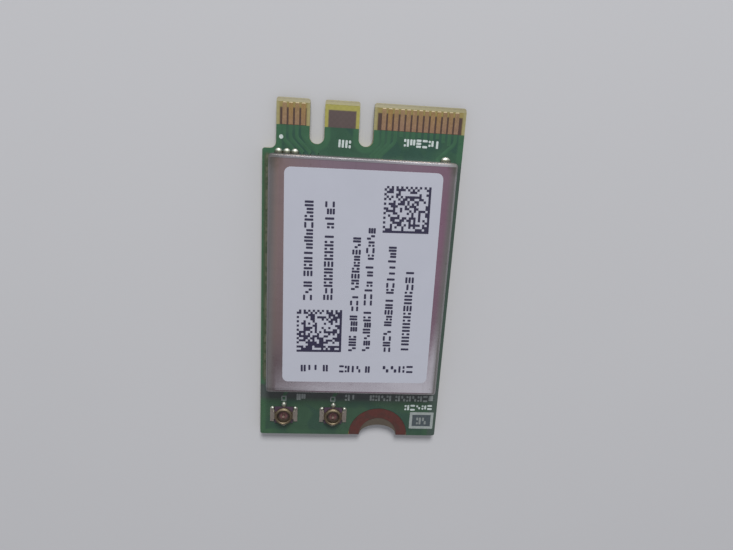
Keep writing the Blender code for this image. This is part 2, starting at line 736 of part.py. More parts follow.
clear_scene()
PARTS = make_collection("laptop_wifi_card")
TOOLS = make_collection("cutters")
LAMINATE = make_material("bare laminate", (0.37, 0.34, 0.10), 0.5)
SOLDER_MASK = make_material("green solder mask", (0.04, 0.11, 0.07), 0.3)
GOLD = make_material("contact gold", (0.55, 0.38, 0.16), 0.35, 1.0)
SOCKET_GOLD = make_material("dull socket gold", (0.42, 0.33, 0.18), 0.4, 1.0)
BARE_COPPER = make_material("oxidised copper", (0.16, 0.05, 0.04), 0.5, 0.6)
TINNED_STEEL = make_material("tinned steel", (0.55, 0.54, 0.56), 0.3, 1.0)
SOLDER = make_material("solder", (0.65, 0.65, 0.62), 0.25, 1.0)
PAPER = make_material("label paper", (0.62, 0.62, 0.68), 0.6)
DARK_MOULDING = make_material("dark moulding", (0.03, 0.03, 0.035), 0.5)
CERAMIC = make_material("chip ceramic", (0.35, 0.27, 0.2), 0.6)
FERRITE = make_material("ferrite", (0.08, 0.08, 0.085), 0.6)

circuit_board()
solder_mask("solder_mask_top", BOARD_TOP - FILM_THICKNESS)
solder_mask("solder_mask_bottom", 0.0)
screw_ring("screw_ring_top", BOARD_TOP - FILM_THICKNESS)
screw_ring("screw_ring_bottom", 0.0)
contact_row("top", BOARD_TOP - FILM_THICKNESS, BOARD_TOP, first_pin=1, shift=0.0)
contact_row("bottom", 0.0, 0.0, first_pin=2, shift=PAD_PITCH / 2)
shield_can()
label()
left_joint = CAN_LEFT + LEFT_SOLDER_FROM_CAN_SIDE + SOLDER_LUMP_PITCH
right_joint = CAN_RIGHT - RIGHT_SOLDER_FROM_CAN_SIDE
solder_joint("solder_joint_left", left_joint, 3, SOLDER_LUMP_LENGTH)
solder_joint("solder_joint_right", right_joint, 1, RIGHT_SOLDER_LUMP_LENGTH)
receptacles()
parts_under_can()
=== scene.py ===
"""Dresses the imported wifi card: finishes for its solids, the label's print, the board's marks and
tracks, the solder at its sockets, and a plain stage. Metres, in the card's own frame."""

import math
import random

import bpy
from mathutils import Matrix, Vector


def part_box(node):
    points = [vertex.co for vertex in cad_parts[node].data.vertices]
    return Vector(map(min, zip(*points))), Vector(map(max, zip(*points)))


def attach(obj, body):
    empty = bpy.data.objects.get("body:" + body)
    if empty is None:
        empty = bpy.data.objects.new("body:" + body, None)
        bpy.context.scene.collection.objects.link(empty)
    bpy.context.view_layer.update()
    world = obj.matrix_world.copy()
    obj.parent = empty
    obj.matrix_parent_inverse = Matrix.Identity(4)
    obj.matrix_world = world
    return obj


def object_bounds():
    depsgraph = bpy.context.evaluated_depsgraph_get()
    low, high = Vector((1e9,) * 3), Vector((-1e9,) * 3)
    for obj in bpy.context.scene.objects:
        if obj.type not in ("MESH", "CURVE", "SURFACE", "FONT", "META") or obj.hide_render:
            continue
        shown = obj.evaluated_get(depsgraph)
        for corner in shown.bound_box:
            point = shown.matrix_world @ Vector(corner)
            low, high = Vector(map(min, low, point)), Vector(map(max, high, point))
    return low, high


bl_info = {
    "name": "Wifi card dressing",
    "version": (1, 0, 0),
    "blender": (4, 5, 0),
    "location": "View3D > Sidebar > Wifi card",
    "description": "Finishes, print, solder and stage for a keyed plug-in wifi card",
    "category": "Object",
}

MM = 0.001
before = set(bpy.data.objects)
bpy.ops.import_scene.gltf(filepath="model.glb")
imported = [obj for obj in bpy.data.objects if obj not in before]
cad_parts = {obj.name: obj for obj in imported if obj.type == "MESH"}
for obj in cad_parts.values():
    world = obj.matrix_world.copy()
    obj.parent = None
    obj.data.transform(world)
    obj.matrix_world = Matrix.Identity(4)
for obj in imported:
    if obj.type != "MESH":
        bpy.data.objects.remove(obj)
solid_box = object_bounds()
label_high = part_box("label")[1]
mask_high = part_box("solder_mask_top")[1]
board_low, board_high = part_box("circuit_board")
can_low, can_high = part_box("shield_can")
lead = solid_box[1][1]

SOCKETS = ("receptacle_1", "receptacle_2")
INNER_PACKAGES = ("radio_chip", "memory_chip", "front_end_module_1", "front_end_module_2")
LEFT_FINGERS = (1, 3, 5, 7)
RIGHT_FINGERS = range(33, 58, 2)

# The card's outline, as the connector standard and the solids have it
FINGER_PITCH = 0.5 * MM
KEY_CENTRES = (-3.875 * MM, 0.125 * MM)
KEY_RADIUS = 0.6 * MM
KEY_FLOOR_CENTRE = 12.1 * MM
BLANK_TAB_CENTRE = sum(KEY_CENTRES) / 2
BLANK_TAB_WIDTH = KEY_CENTRES[1] - KEY_CENTRES[0]
TONGUE_LEFT = -7.15 * MM
SHOULDER = 11.0 * MM
SOCKET_FOOT_LENGTH = 1.36 * MM
SCREW_CENTRE = (2.75 * MM, -15.0 * MM)
SCREW_RING_RADIUS = 2.6 * MM

# The laminate's weave to the metre, a ply, and where the filed look of the bevel, greyer and with
# painted shade, starts and is full, measured back from the leading edge
WEAVE_COUNT = 4200.0
PLY_THICKNESS = 0.19 * MM
BEVEL_START = 0.40 * MM
BEVEL_FULL = 0.32 * MM

# How the can's top curves down towards its side bends
CROWN_WIDTH = 0.9 * MM
CROWN_CURVE = 50.0

# What lies on a surface starts this far above it
LABEL_INK_GAP = 0.002 * MM
BOARD_INK_GAP = 0.001 * MM
SOLDER_GAP = 0.002 * MM

MERGE_DISTANCE = 1e-7
CUT_TOLERANCE = 1e-8

# The camera, fitted to the fingers, the key notches, the half-moon and the board's edges
CAMERA_PLACE = (-0.002767, 0.011900, 0.044225)
CAMERA_FORWARD = Vector((0.07989, -0.24968, -0.96503))
CAMERA_UP = Vector((-0.03871, 0.96661, -0.25329))
CAMERA_LENS = 25.3
CAMERA_SENSOR = 36.0

KEY_LAMP_TOWARD = Vector((0.02, 1.25, 1.0))
KEY_LAMP_DISTANCE = 0.5
FLOOR_SIDE = 4.0
FLOOR_DROP = 0.01 * MM


# Values that a user would change


def colour_property(name, description, default):
    return bpy.props.FloatVectorProperty(
        name=name,
        description=description,
        default=default,
        size=3,
        min=0.0,
        max=1.0,
        subtype="COLOR",
    )


def length_property(name, description, default):
    return bpy.props.FloatProperty(
        name=name,
        description=description,
        default=default,
        min=0.0,
        precision=6,
        subtype="DISTANCE",
        unit="LENGTH",
    )


class CardBoardValues(bpy.types.PropertyGroup):
    laminate: colour_property("Laminate", "Bare resin and glass", (0.33, 0.305, 0.076))
    inner_plane: colour_property(
        "Inner plane", "Laminate with the inner copper behind it", (0.09, 0.066, 0.062)
    )
    mask: colour_property("Solder mask", "Green mask over laminate", (0.031, 0.088, 0.053))
    copper: colour_property("Bare copper", "Dulled copper round the half-moon", (0.115, 0.040, 0.034))
    plane_margin: length_property(
        "Plane margin", "How far the inner copper stays behind the edge", 0.28 * MM
    )
    plane_front: length_property(
        "Plane front", "How far the inner copper stays behind the contact edge", 0.77 * MM
    )


class CardMetalValues(bpy.types.PropertyGroup):
    can: colour_property("Can", "Tinned sheet of the shield can", (0.60, 0.58, 0.60))
    gold: colour_property("Fingers", "Gold of the contact fingers", (0.82, 0.60, 0.28))
    socket_gold: colour_property("Sockets", "Duller gold of the coaxial sockets", (0.20, 0.165, 0.11))
    solder: colour_property("Solder", "Solder with a little flux on it", (0.43, 0.45, 0.39))
    bead_size: length_property("Bead size", "Radius of a solder bead at a socket's feet", 0.2 * MM)


class CardPrintValues(bpy.types.PropertyGroup):
    film: colour_property("Label film", "Matt white film of the label", (0.437, 0.452, 0.518))
    ink: colour_property("Label ink", "Dark ink on the label", (0.024, 0.022, 0.054))
    marks: colour_property("Board marks", "Pale ink on the solder mask", (0.50, 0.56, 0.55))
    field: colour_property("Mark field", "Thin ink inside the framed mark", (0.056, 0.074, 0.083))
    ink_height: length_property("Ink height", "How far print stands off its surface", 0.012 * MM)
    stroke: length_property("Stroke", "Width of a printed stroke", 0.18 * MM)
    code_cells: bpy.props.IntProperty(
        name="Code cells",
        description="Cells along one side of a code square",
        default=20,
        min=8,
        max=40,
    )


class CardTrackValues(bpy.types.PropertyGroup):
    width: length_property("Track width", "Width of a covered track", 0.30 * MM)
    height: length_property("Track height", "How far a covered track lifts the mask", 0.012 * MM)
    colour: colour_property("Track colour", "Green mask over a copper track", (0.038, 0.110, 0.060))


class CardStageValues(bpy.types.PropertyGroup):
    floor: colour_property("Floor", "Plain pale floor", (0.50, 0.505, 0.525))
    key_power: bpy.props.FloatProperty(
        name="Key lamp", description="Power of the key lamp", default=2.25, min=0.0, unit="POWER"
    )
    key_size: length_property("Key lamp size", "Side of the square key lamp", 0.16)
    fill: bpy.props.FloatProperty(
        name="Fill", description="Strength of the soft surrounding light", default=0.41, min=0.0
    )
    backdrop: bpy.props.FloatProperty(
        name="Backdrop", description="Paleness of the far surroundings", default=0.75, min=0.0
    )


# Nodes


def add_node(tree, kind, **values):
    """Adds a node; values are its properties, or its sockets' defaults by socket name."""
    node = tree.nodes.new(kind)
    for key, value in values.items():
        if hasattr(node, key):
            setattr(node, key, value)
        else:
            node.inputs[key.replace("_", " ").title()].default_value = value
    return node


def put(tree, value, socket):
    """Links a socket to another one, or gives it a plain value."""
    if isinstance(value, bpy.types.NodeSocket):
        tree.links.new(value, socket)
    else:
        socket.default_value = value


def math_node(tree, operation, *values):
    node = add_node(tree, "ShaderNodeMath", operation=operation)
    for value, socket in zip(values, node.inputs):
        put(tree, value, socket)
    return node.outputs[0]


def chained(tree, operation, values):
    result = values[0]
    for value in values[1:]:
        result = math_node(tree, operation, result, value)
    return result


def times(tree, *values):
    return chained(tree, "MULTIPLY", values)


def least(tree, *values):
    return chained(tree, "MINIMUM", values)


def most(tree, *values):
    return chained(tree, "MAXIMUM", values)


def minus(tree, first, second):
    return math_node(tree, "SUBTRACT", first, second)


def apart(tree, value, middle):
    """How far a value lies from a middle one, on either side."""
    return math_node(tree, "ABSOLUTE", minus(tree, value, middle))


def length_of(tree, across, along):
    """The length of a run that has these two sides."""
    squares = math_node(tree, "ADD", times(tree, across, across), times(tree, along, along))
    return math_node(tree, "SQRT", squares)


def distance_to(tree, vector, point):
    """How far a point on the piece lies from a fixed one."""
    node = add_node(tree, "ShaderNodeVectorMath", operation="DISTANCE")
    tree.links.new(vector, node.inputs[0])
    node.inputs[1].default_value = point
    return node.outputs["Value"]


def ramp(tree, value, low, high):
    """A soft step from 0 at low to 1 at high."""
    node = add_node(
        tree, "ShaderNodeMapRange", interpolation_type="SMOOTHSTEP", from_min=low, from_max=high
    )
    put(tree, value, node.inputs["Value"])
    return node.outputs["Result"]


def noise(tree, vector, size, detail, roughness=0.5):
    """A value that wanders about a half, with size wanderings to the metre."""
    node = add_node(tree, "ShaderNodeTexNoise", detail=detail, roughness=roughness)
    tree.links.new(vector, node.inputs["Vector"])
    put(tree, size, node.inputs["Scale"])
    return node.outputs["Fac"]


def colour4(colour):
    """A plain colour with its alpha; a socket is passed through."""
    if isinstance(colour, bpy.types.NodeSocket):
        return colour
    return (colour[0], colour[1], colour[2], 1.0)


def tinted(colour, red, green, blue):
    """A plain colour with its parts scaled, none of them past white."""
    return [min(1.0, part * scale) for part, scale in zip(colour, (red, green, blue))]


def dimmed(colour, scale):
    return tinted(colour, scale, scale, scale)


def mix_colour(tree, factor, first, second, blend="MIX"):
    node = add_node(tree, "ShaderNodeMix", data_type="RGBA", blend_type=blend)
    put(tree, factor, node.inputs["Factor"])
    put(tree, colour4(first), node.inputs[6])
    put(tree, colour4(second), node.inputs[7])
    return node.outputs[2]


def lay_over(tree, base, layers):
    """Lays colours over a base, each by its mask."""
    for mask, colour in layers:
        base = mix_colour(tree, mask, base, colour)
    return base


def shaded(tree, colour, amount):
    """A colour times a plain amount."""
    grey = add_node(tree, "ShaderNodeCombineColor")
    for socket in grey.inputs[:3]:
        tree.links.new(amount, socket)
    return mix_colour(tree, 1.0, colour, grey.outputs[0], "MULTIPLY")


def object_axes(tree):
    """The x, y and z sockets of a point on the piece, and the whole vector."""
    place = add_node(tree, "ShaderNodeTexCoord")
    split = add_node(tree, "ShaderNodeSeparateXYZ")
    tree.links.new(place.outputs["Object"], split.inputs[0])
    return split.outputs[0], split.outputs[1], split.outputs[2], place.outputs["Object"]


# Node groups that several materials share


def new_group(name, inputs, outputs):
    """A shader node group with named sockets: (name, type, default) in and (name, type) out."""
    tree = bpy.data.node_groups.new(name, "ShaderNodeTree")
    for label, kind, default in inputs:
        socket = tree.interface.new_socket(label, in_out="INPUT", socket_type=kind)
        socket.default_value = default
    for label, kind in outputs:
        tree.interface.new_socket(label, in_out="OUTPUT", socket_type=kind)
    return tree, add_node(tree, "NodeGroupInput").outputs, add_node(tree, "NodeGroupOutput").inputs


def tone_drift_group():
    """Makes a colour wander a little lighter and darker over the surface."""
    tree, given, out = new_group(
        "Tone drift",
        [
            ("Color", "NodeSocketColor", (0.5, 0.5, 0.5, 1.0)),
            ("Size", "NodeSocketFloat", 600.0),
            ("Amount", "NodeSocketFloat", 0.1),
        ],
        [("Color", "NodeSocketColor")],
    )
    wander = noise(tree, object_axes(tree)[3], given["Size"], 4.0, roughness=0.55)
    swing = times(tree, minus(tree, wander, 0.5), given["Amount"])
    lift = math_node(tree, "MULTIPLY_ADD", swing, 2.0, 1.0)
    tree.links.new(shaded(tree, given["Color"], lift), out["Color"])
    return tree


def grain_group():
    """A fine height grain with a coarser swell under it."""
    tree, given, out = new_group(
        "Surface grain",
        [
            ("Fine", "NodeSocketFloat", 9000.0),
            ("Coarse", "NodeSocketFloat", 700.0),
            ("Swell", "NodeSocketFloat", 0.5),
        ],
        [("Height", "NodeSocketFloat")],
    )
    vector = object_axes(tree)[3]
    fine = noise(tree, vector, given["Fine"], 3.0)
    swell = times(tree, noise(tree, vector, given["Coarse"], 3.0), given["Swell"])
    tree.links.new(math_node(tree, "ADD", fine, swell), out["Height"])
    return tree


def drawn_scratch_group():
    """Thin streaks along Y, as sliding contact or rolling leaves them."""
    tree, given, out = new_group(
        "Drawn scratches",
        [("Across", "NodeSocketFloat", 9000.0), ("Along", "NodeSocketFloat", 250.0)],
        [("Mask", "NodeSocketFloat")],
    )
    place = add_node(tree, "ShaderNodeCombineXYZ")
    sizes = ("Across", "Along", "Along")
    for axis, size, socket in zip(object_axes(tree), sizes, place.inputs):
        tree.links.new(times(tree, axis, given[size]), socket)
    streaks = noise(tree, place.outputs[0], 1.0, 2.0)
    tree.links.new(ramp(tree, streaks, 0.5, 0.72), out["Mask"])
    return tree


def edge_distance_group():
    """How far a point lies inside the board's sides, shoulder and key notches, in metres."""
    tree, _, out = new_group("Edge distance", [], [("Distance", "NodeSocketFloat")])
    x, y, _, _ = object_axes(tree)
    from_side = least(tree, minus(tree, x, solid_box[0][0]), minus(tree, SHOULDER, y))
    from_left = most(tree, from_side, minus(tree, x, TONGUE_LEFT))
    from_right = minus(tree, solid_box[1][0], x)
    nearest = least(tree, from_left, from_right, minus(tree, y, solid_box[0][1]))
    under_key = least(tree, minus(tree, y, KEY_FLOOR_CENTRE), 0.0)
    for centre in KEY_CENTRES:
        reach = length_of(tree, minus(tree, x, centre), under_key)
        nearest = least(tree, nearest, minus(tree, reach, KEY_RADIUS))
    tree.links.new(nearest, out["Distance"])
    return tree


GROUP_MAKERS = {
    "Tone drift": tone_drift_group,
    "Surface grain": grain_group,
    "Drawn scratches": drawn_scratch_group,
    "Edge distance": edge_distance_group,
}
GROUPS = {}


def group_output(tree, name, **values):
    """Places a shared group in a material, each made the first time that it is asked for."""
    if name not in GROUPS:
        GROUPS[name] = GROUP_MAKERS[name]()
    node = add_node(tree, "ShaderNodeGroup")
    node.node_tree = GROUPS[name]
    for key, value in values.items():
        put(tree, value, node.inputs[key.title()])
    return node.outputs[0]


# Materials


def new_material(name, roughness, metallic=0.0):
    """A material with one Principled shader; returns it, its tree and its shader."""
    material = bpy.data.materials.new(name)
    material.use_nodes = True
    tree = material.node_tree
    shader = tree.nodes["Principled BSDF"]
    shader.inputs["Roughness"].default_value = roughness
    shader.inputs["Metallic"].default_value = metallic
    return material, tree, shader


def set_colour(tree, shader, colour, size, amount):
    """A base colour with a little drift."""
    drifted = group_output(tree, "Tone drift", color=colour4(colour), size=size, amount=amount)
    tree.links.new(drifted, shader.inputs["Base Color"])


def set_rough(tree, shader, size, low, high):
    """Roughness that wanders between two values; returns its socket."""
    wander = noise(tree, object_axes(tree)[3], size, 4.0)
    node = add_node(
        tree, "ShaderNodeMapRange", from_min=0.3, from_max=0.7, to_min=low, to_max=high
    )
    tree.links.new(wander, node.inputs["Value"])
    tree.links.new(node.outputs["Result"], shader.inputs["Roughness"])
    return node.outputs["Result"]


def set_grain(tree, shader, fine, coarse, swell, strength, depth):
    """A bump of fine grain over a coarser swell; returns its node."""
    height = group_output(tree, "Surface grain", fine=fine, coarse=coarse, swell=swell)
    bump = add_node(tree, "ShaderNodeBump", strength=strength, distance=depth)
    tree.links.new(height, bump.inputs["Height"])
    tree.links.new(bump.outputs[0], shader.inputs["Normal"])
    return bump


def laminate_material(values):
    """Bare laminate: glass weave, an inner copper plane seen through it, layered edges and a filed
    bevel darkened with painted shade.
    """
    material, tree, shader = new_material("bare laminate", 0.42)
    x, y, z, vector = object_axes(tree)
    distance = group_output(tree, "Edge distance")
    from_screw = distance_to(tree, vector, (*SCREW_CENTRE, board_high.z))
    at_screw = math_node(tree, "LESS_THAN", from_screw, SCREW_RING_RADIUS)
    margin = math_node(tree, "ADD", minus(tree, distance, values.plane_margin), at_screw)
    front = minus(tree, lead - values.plane_front, y)
    plane = ramp(tree, least(tree, front, margin), -0.06 * MM, 0.06 * MM)
    off_tab = apart(tree, x, BLANK_TAB_CENTRE)
    with_fingers = math_node(tree, "GREATER_THAN", off_tab, BLANK_TAB_WIDTH / 2)
    redder = tinted(values.inner_plane, 0.78, 0.62, 0.52)
    olive = tinted(values.inner_plane, 0.98, 1.10, 0.88)
    browner = tinted(values.laminate, 0.80, 0.70, 0.95)
    paler = tinted(values.laminate, 0.92, 0.90, 1.7)
    # The filed bevel is greyer laminate, darkened further with painted shade where it faces the lamp
    filed_and_shaded = tinted(values.laminate, 0.46, 0.43, 0.50)
    filed_and_shaded_blank = tinted(values.laminate, 0.44, 0.41, 0.24)
    at_side = times(tree, ramp(tree, distance, 0.34 * MM, 0.10 * MM), with_fingers)
    bevel = ramp(tree, y, lead - BEVEL_START, lead - BEVEL_FULL)
    on_bevel = mix_colour(tree, with_fingers, filed_and_shaded_blank, filed_and_shaded)
    bare = lay_over(
        tree, values.laminate, ((with_fingers, browner), (at_side, paler), (bevel, on_bevel))
    )
    under = lay_over(tree, values.inner_plane, ((with_fingers, redder), (at_screw, olive)))
    base = mix_colour(tree, plane, bare, under)
    weave = add_node(tree, "ShaderNodeTexChecker", scale=WEAVE_COUNT)
    tree.links.new(vector, weave.inputs["Vector"])
    woven = math_node(tree, "MULTIPLY_ADD", weave.outputs["Fac"], 0.06, 0.95)
    layer = math_node(tree, "SINE", times(tree, z, 2 * math.pi / PLY_THICKNESS))
    off_middle = apart(tree, z, (board_low.z + board_high.z) / 2)
    on_edge = ramp(tree, off_middle, 0.34 * MM, 0.30 * MM)
    layered = times(tree, ramp(tree, layer, 0.72, 0.98), on_edge)
    shade = mix_colour(tree, layered, (1, 1, 1), (0.72, 0.66, 0.6))
    base = mix_colour(tree, 1.0, base, shade, "MULTIPLY")
    set_colour(tree, shader, shaded(tree, base, woven), 900.0, 0.12)
    set_grain(tree, shader, 7000.0, 1800.0, 0.6, 0.25, 0.008 * MM)
    return material


def mask_ground(tree, values, place):
    """Green, lighter at the edge with no copper under it, bluer in pours, with painted shade
    darkening it towards the tail.
    """
    x, y, _, vector = place
    rim = ramp(tree, group_output(tree, "Edge distance"), 0.62 * MM, 0.36 * MM)
    along_tail = times(
        tree,
        ramp(tree, y, board_low.y + 0.9 * MM, board_low.y + 0.5 * MM),
        ramp(tree, x, board_low.x + 0.8 * MM, board_low.x + 1.6 * MM),
    )
    rim = times(tree, rim, math_node(tree, "MULTIPLY_ADD", along_tail, -0.65, 1.0))
    pour = ramp(tree, noise(tree, vector, 380.0, 1.5), 0.47, 0.53)
    pour = times(tree, pour, 0.7, minus(tree, 1.0, rim))
    lighter = tinted(values.mask, 1.25, 1.3, 1.15)
    bluer = tinted(values.mask, 0.72, 0.78, 0.98)
    base = lay_over(tree, values.mask, ((rim, lighter), (pour, bluer)))
    # Painted shade: the mask darkens towards the tail, where less light falls on it
    tail_shade_ramp = ramp(tree, y, can_low.y, can_low.y - 1.2 * MM)
    painted_tail_shade = mix_colour(tree, tail_shade_ramp, (1, 1, 1), (1.04, 0.87, 0.83))
    return mix_colour(tree, 1.0, base, painted_tail_shade, "MULTIPLY")


def mask_flux_and_can_shadow(tree, base, place):
    """Painted shadow and reflection of the can on the mask behind it, flux along its sides, and
    solder crumbs at its left foot.
    """
    x, y, _, vector = place
    # Painted shadow: a grey band behind the can's tail stands in for its shadow and its dim
    # reflection in the mask
    painted_can_shadow = times(
        tree,
        ramp(tree, y, can_low.y - 1.65 * MM, can_low.y - 0.95 * MM),
        ramp(tree, y, can_low.y + 0.3 * MM, can_low.y),
        0.85,
    )
    beside_can = ramp(tree, y, can_high.y + 0.2 * MM, can_high.y - 0.4 * MM)
    right_strip = times(tree, ramp(tree, x, can_high.x - 0.3 * MM, can_high.x), beside_can, 0.8)
    left_foot = times(
        tree,
        ramp(tree, x, can_low.x - 0.60 * MM, can_low.x - 0.34 * MM),
        beside_can,
        math_node(tree, "LESS_THAN", x, can_low.x),
        ramp(tree, y, can_low.y, can_low.y + MM),
    )
    crumb = times(
        tree,
        ramp(tree, noise(tree, vector, 1900.0, 3.0), 0.42, 0.56),
        ramp(tree, x, can_low.x - 0.36 * MM, can_low.x - 0.24 * MM),
        left_foot,
    )
    layers = (
        (painted_can_shadow, (0.058, 0.065, 0.068)),
        (right_strip, (0.050, 0.072, 0.064)),
        (left_foot, (0.056, 0.082, 0.045)),
        (crumb, (0.125, 0.130, 0.090)),
    )
    return lay_over(tree, base, layers)


def mask_material(values):
    """Green solder mask: glossy, uneven over edges and copper, with painted shade towards the tail, a
    painted shadow behind the can and flux along its sides.
    """
    material, tree, shader = new_material("green solder mask", 0.3)
    place = object_axes(tree)
    base = mask_flux_and_can_shadow(tree, mask_ground(tree, values, place), place)
    set_colour(tree, shader, base, 1500.0, 0.16)
    set_rough(tree, shader, 900.0, 0.24, 0.36)
    set_grain(tree, shader, 5000.0, 900.0, 1.0, 0.2, 0.006 * MM)
    return material


def finger_material(values):
    """Gold fingers, each a little different, drawn along by the springs of a connector, with a
    painted highlight at their front ends.
    """
    material, tree, shader = new_material("finger gold", 0.2, 1.0)
    x, y, _, _ = object_axes(tree)
    worn = ramp(tree, y, lead - 2.1 * MM, lead - 0.5 * MM)
    dull = tinted(values.gold, 0.96, 0.92, 1.1)
    yellow = tinted(values.gold, 1.0, 1.0, 0.85)
    number = math_node(tree, "FLOOR", math_node(tree, "MULTIPLY_ADD", x, 1 / FINGER_PITCH, 0.5))
    lot = add_node(tree, "ShaderNodeTexWhiteNoise", noise_dimensions="1D")
    tree.links.new(number, lot.inputs["W"])
    scratch = group_output(tree, "Drawn scratches", across=16000.0, along=900.0)
    layers = (
        (times(tree, lot.outputs["Value"], 0.6), tinted(values.gold, 0.88, 0.93, 1.45)),
        (times(tree, scratch, 0.4), dimmed(values.gold, 1.2)),
        # Painted highlight: pale gold at the fingers' front ends stands in for their glint
        (ramp(tree, y, lead - 0.50 * MM, lead - 0.40 * MM), (0.82, 0.69, 0.42)),
    )
    base = lay_over(tree, mix_colour(tree, worn, dull, yellow), layers)
    set_colour(tree, shader, base, 2500.0, 0.14)
    set_rough(tree, shader, 3500.0, 0.16, 0.26)
    set_grain(tree, shader, 12000.0, 2500.0, 0.7, 0.3, 0.004 * MM)
    return material


def copper_material(values):
    """Bare copper, tarnished in patches."""
    material, tree, shader = new_material("tarnished copper", 0.45, 0.35)
    patch = ramp(tree, noise(tree, object_axes(tree)[3], 1400.0, 5.0), 0.45, 0.62)
    base = mix_colour(tree, patch, values.copper, tinted(values.copper, 0.8, 1.05, 1.05))
    set_colour(tree, shader, base, 3200.0, 0.2)
    set_rough(tree, shader, 2200.0, 0.36, 0.55)
    set_grain(tree, shader, 9000.0, 2500.0, 0.6, 0.3, 0.005 * MM)
    return material


def can_stains(tree, metal, place):
    """Rolled sheet with specks, stained lead corners, a smear at the tail and wiped streaks."""
    x, y, _, vector = place
    rolled = group_output(tree, "Drawn scratches", across=4200.0, along=160.0)
    cells = add_node(tree, "ShaderNodeTexVoronoi", scale=900.0)
    tree.links.new(vector, cells.inputs["Vector"])
    speck = ramp(tree, cells.outputs["Distance"], 0.09, 0.05)
    layers = [
        (times(tree, rolled, 0.6), dimmed(metal, 0.93)),
        (times(tree, speck, 0.35), (0.33, 0.31, 0.30)),
    ]
    ragged = noise(tree, vector, 1500.0, 3.0)
    ragged = math_node(tree, "MULTIPLY_ADD", ragged, 1.2 * MM, -0.6 * MM)
    for corner_x, size in ((can_low.x, 1.7 * MM), (can_high.x, 1.1 * MM)):
        from_corner = distance_to(tree, vector, (corner_x, can_high.y, can_high.z))
        reach = math_node(tree, "ADD", from_corner, ragged)
        stain = times(tree, ramp(tree, reach, size, size * 0.3), 0.75)
        layers.append((stain, (0.36, 0.35, 0.31)))
    smear = times(
        tree,
        ramp(tree, x, can_low.x + 6.0 * MM, can_low.x + 0.8 * MM),
        ramp(tree, y, can_low.y + 0.62 * MM, can_low.y + 0.36 * MM),
        0.7,
    )
    wiped = add_node(tree, "ShaderNodeMapping", scale=(330.0, 2100.0, 330.0))
    tree.links.new(vector, wiped.inputs["Vector"])
    streak = ramp(tree, noise(tree, wiped.outputs["Vector"], 1.0, 3.0), 0.46, 0.66)
    layers += [
        (smear, dimmed(metal, 0.55)),
        (times(tree, streak, 0.18), dimmed(metal, 0.84)),
    ]
    return lay_over(tree, metal, layers)


def shade_can_bends(tree, base, place):
    """The sheet with painted shade where it bends down, dimming its reflections there, and at the
    lead side most on the left.
    """
    x, y, _, _ = place
    towards_right = ramp(tree, x, -1.5 * MM, can_high.x)
    lead_side_shade = math_node(tree, "MULTIPLY_ADD", towards_right, -0.34, 0.60)
    # Painted shade: each bend's colour is darkened by its share, which dims what it reflects
    bends = (
        (x, can_high.x - 0.22 * MM, can_high.x - 0.08 * MM, 0.34),
        (y, can_low.y + 0.20 * MM, can_low.y + 0.08 * MM, 0.28),
        (x, can_low.x + 0.26 * MM, can_low.x + 0.10 * MM, 0.48),
        (y, can_high.y - 0.38 * MM, can_high.y - 0.26 * MM, lead_side_shade),
    )
    unshaded = 1.0
    for value, flat, bent, shade_depth in bends:
        bend_shade = times(tree, ramp(tree, value, flat, bent), shade_depth)
        unshaded = least(tree, unshaded, minus(tree, 1.0, bend_shade))
    return shaded(tree, base, unshaded)


def can_material(values):
    """Tinned sheet: bright and crowned on top with painted shade on its bends, rougher on its side
    and tail bends and its walls.
    """
    material, tree, shader = new_material("tinned sheet", 0.2, 1.0)
    place = object_axes(tree)
    x, y, z, _ = place
    base = shade_can_bends(tree, can_stains(tree, values.can, place), place)
    set_colour(tree, shader, base, 260.0, 0.07)
    inside = least(tree, minus(tree, x, can_low.x), minus(tree, can_high.x, x))
    from_edge = least(tree, inside, minus(tree, y, can_low.y))
    bend = ramp(tree, from_edge, 0.26 * MM, 0.12 * MM)
    wall = ramp(tree, z, can_high.z - 0.06 * MM, can_high.z - 0.12 * MM)
    rough = add_node(tree, "ShaderNodeMix", data_type="FLOAT")
    put(tree, most(tree, bend, wall), rough.inputs["Factor"])
    put(tree, set_rough(tree, shader, 380.0, 0.10, 0.16), rough.inputs[2])
    put(tree, 0.42, rough.inputs[3])
    tree.links.new(rough.outputs[0], shader.inputs["Roughness"])
    short = most(tree, minus(tree, CROWN_WIDTH, inside), 0.0)
    crown = add_node(tree, "ShaderNodeBump", strength=1.0, distance=1.0)
    tree.links.new(times(tree, short, short, -CROWN_CURVE), crown.inputs["Height"])
    bump = set_grain(tree, shader, 3500.0, 260.0, 3.0, 0.1, 0.010 * MM)
    tree.links.new(crown.outputs[0], bump.inputs["Normal"])
    return material


def film_material(values):
    """Matt label film with a faint fibre and a hint of handling."""
    material, tree, shader = new_material("label film", 0.55)
    shader.inputs["Specular IOR Level"].default_value = 0.35
    set_colour(tree, shader, values.film, 300.0, 0.03)
    set_rough(tree, shader, 1200.0, 0.48, 0.62)
    set_grain(tree, shader, 9000.0, 450.0, 1.5, 0.18, 0.006 * MM)
    return material


def ink_material(name, colour, roughness, patchy, thin_or_shaded_places=()):
    """Printed ink, darker in the given (middle, half size, share left) boxes: where the ink is
    thinner, and where a shadow is painted on it.
    """
    material, tree, shader = new_material(name, roughness)
    x, y, _, _ = object_axes(tree)
    layers = []
    for (middle_x, middle_y), (half_x, half_y), share in thin_or_shaded_places:
        in_x = math_node(tree, "LESS_THAN", apart(tree, x, middle_x * MM), half_x * MM)
        in_y = math_node(tree, "LESS_THAN", apart(tree, y, middle_y * MM), half_y * MM)
        layers.append((times(tree, in_x, in_y), dimmed(colour, share)))
    set_colour(tree, shader, lay_over(tree, colour, layers), 5200.0, patchy)
    set_grain(tree, shader, 11000.0, 3000.0, 0.5, 0.2, 0.003 * MM)
    return material


def track_material(values):
    material, tree, shader = new_material("mask over track", 0.28)
    set_colour(tree, shader, values.colour, 1400.0, 0.18)
    set_grain(tree, shader, 6000.0, 1500.0, 0.8, 0.2, 0.004 * MM)
    return material


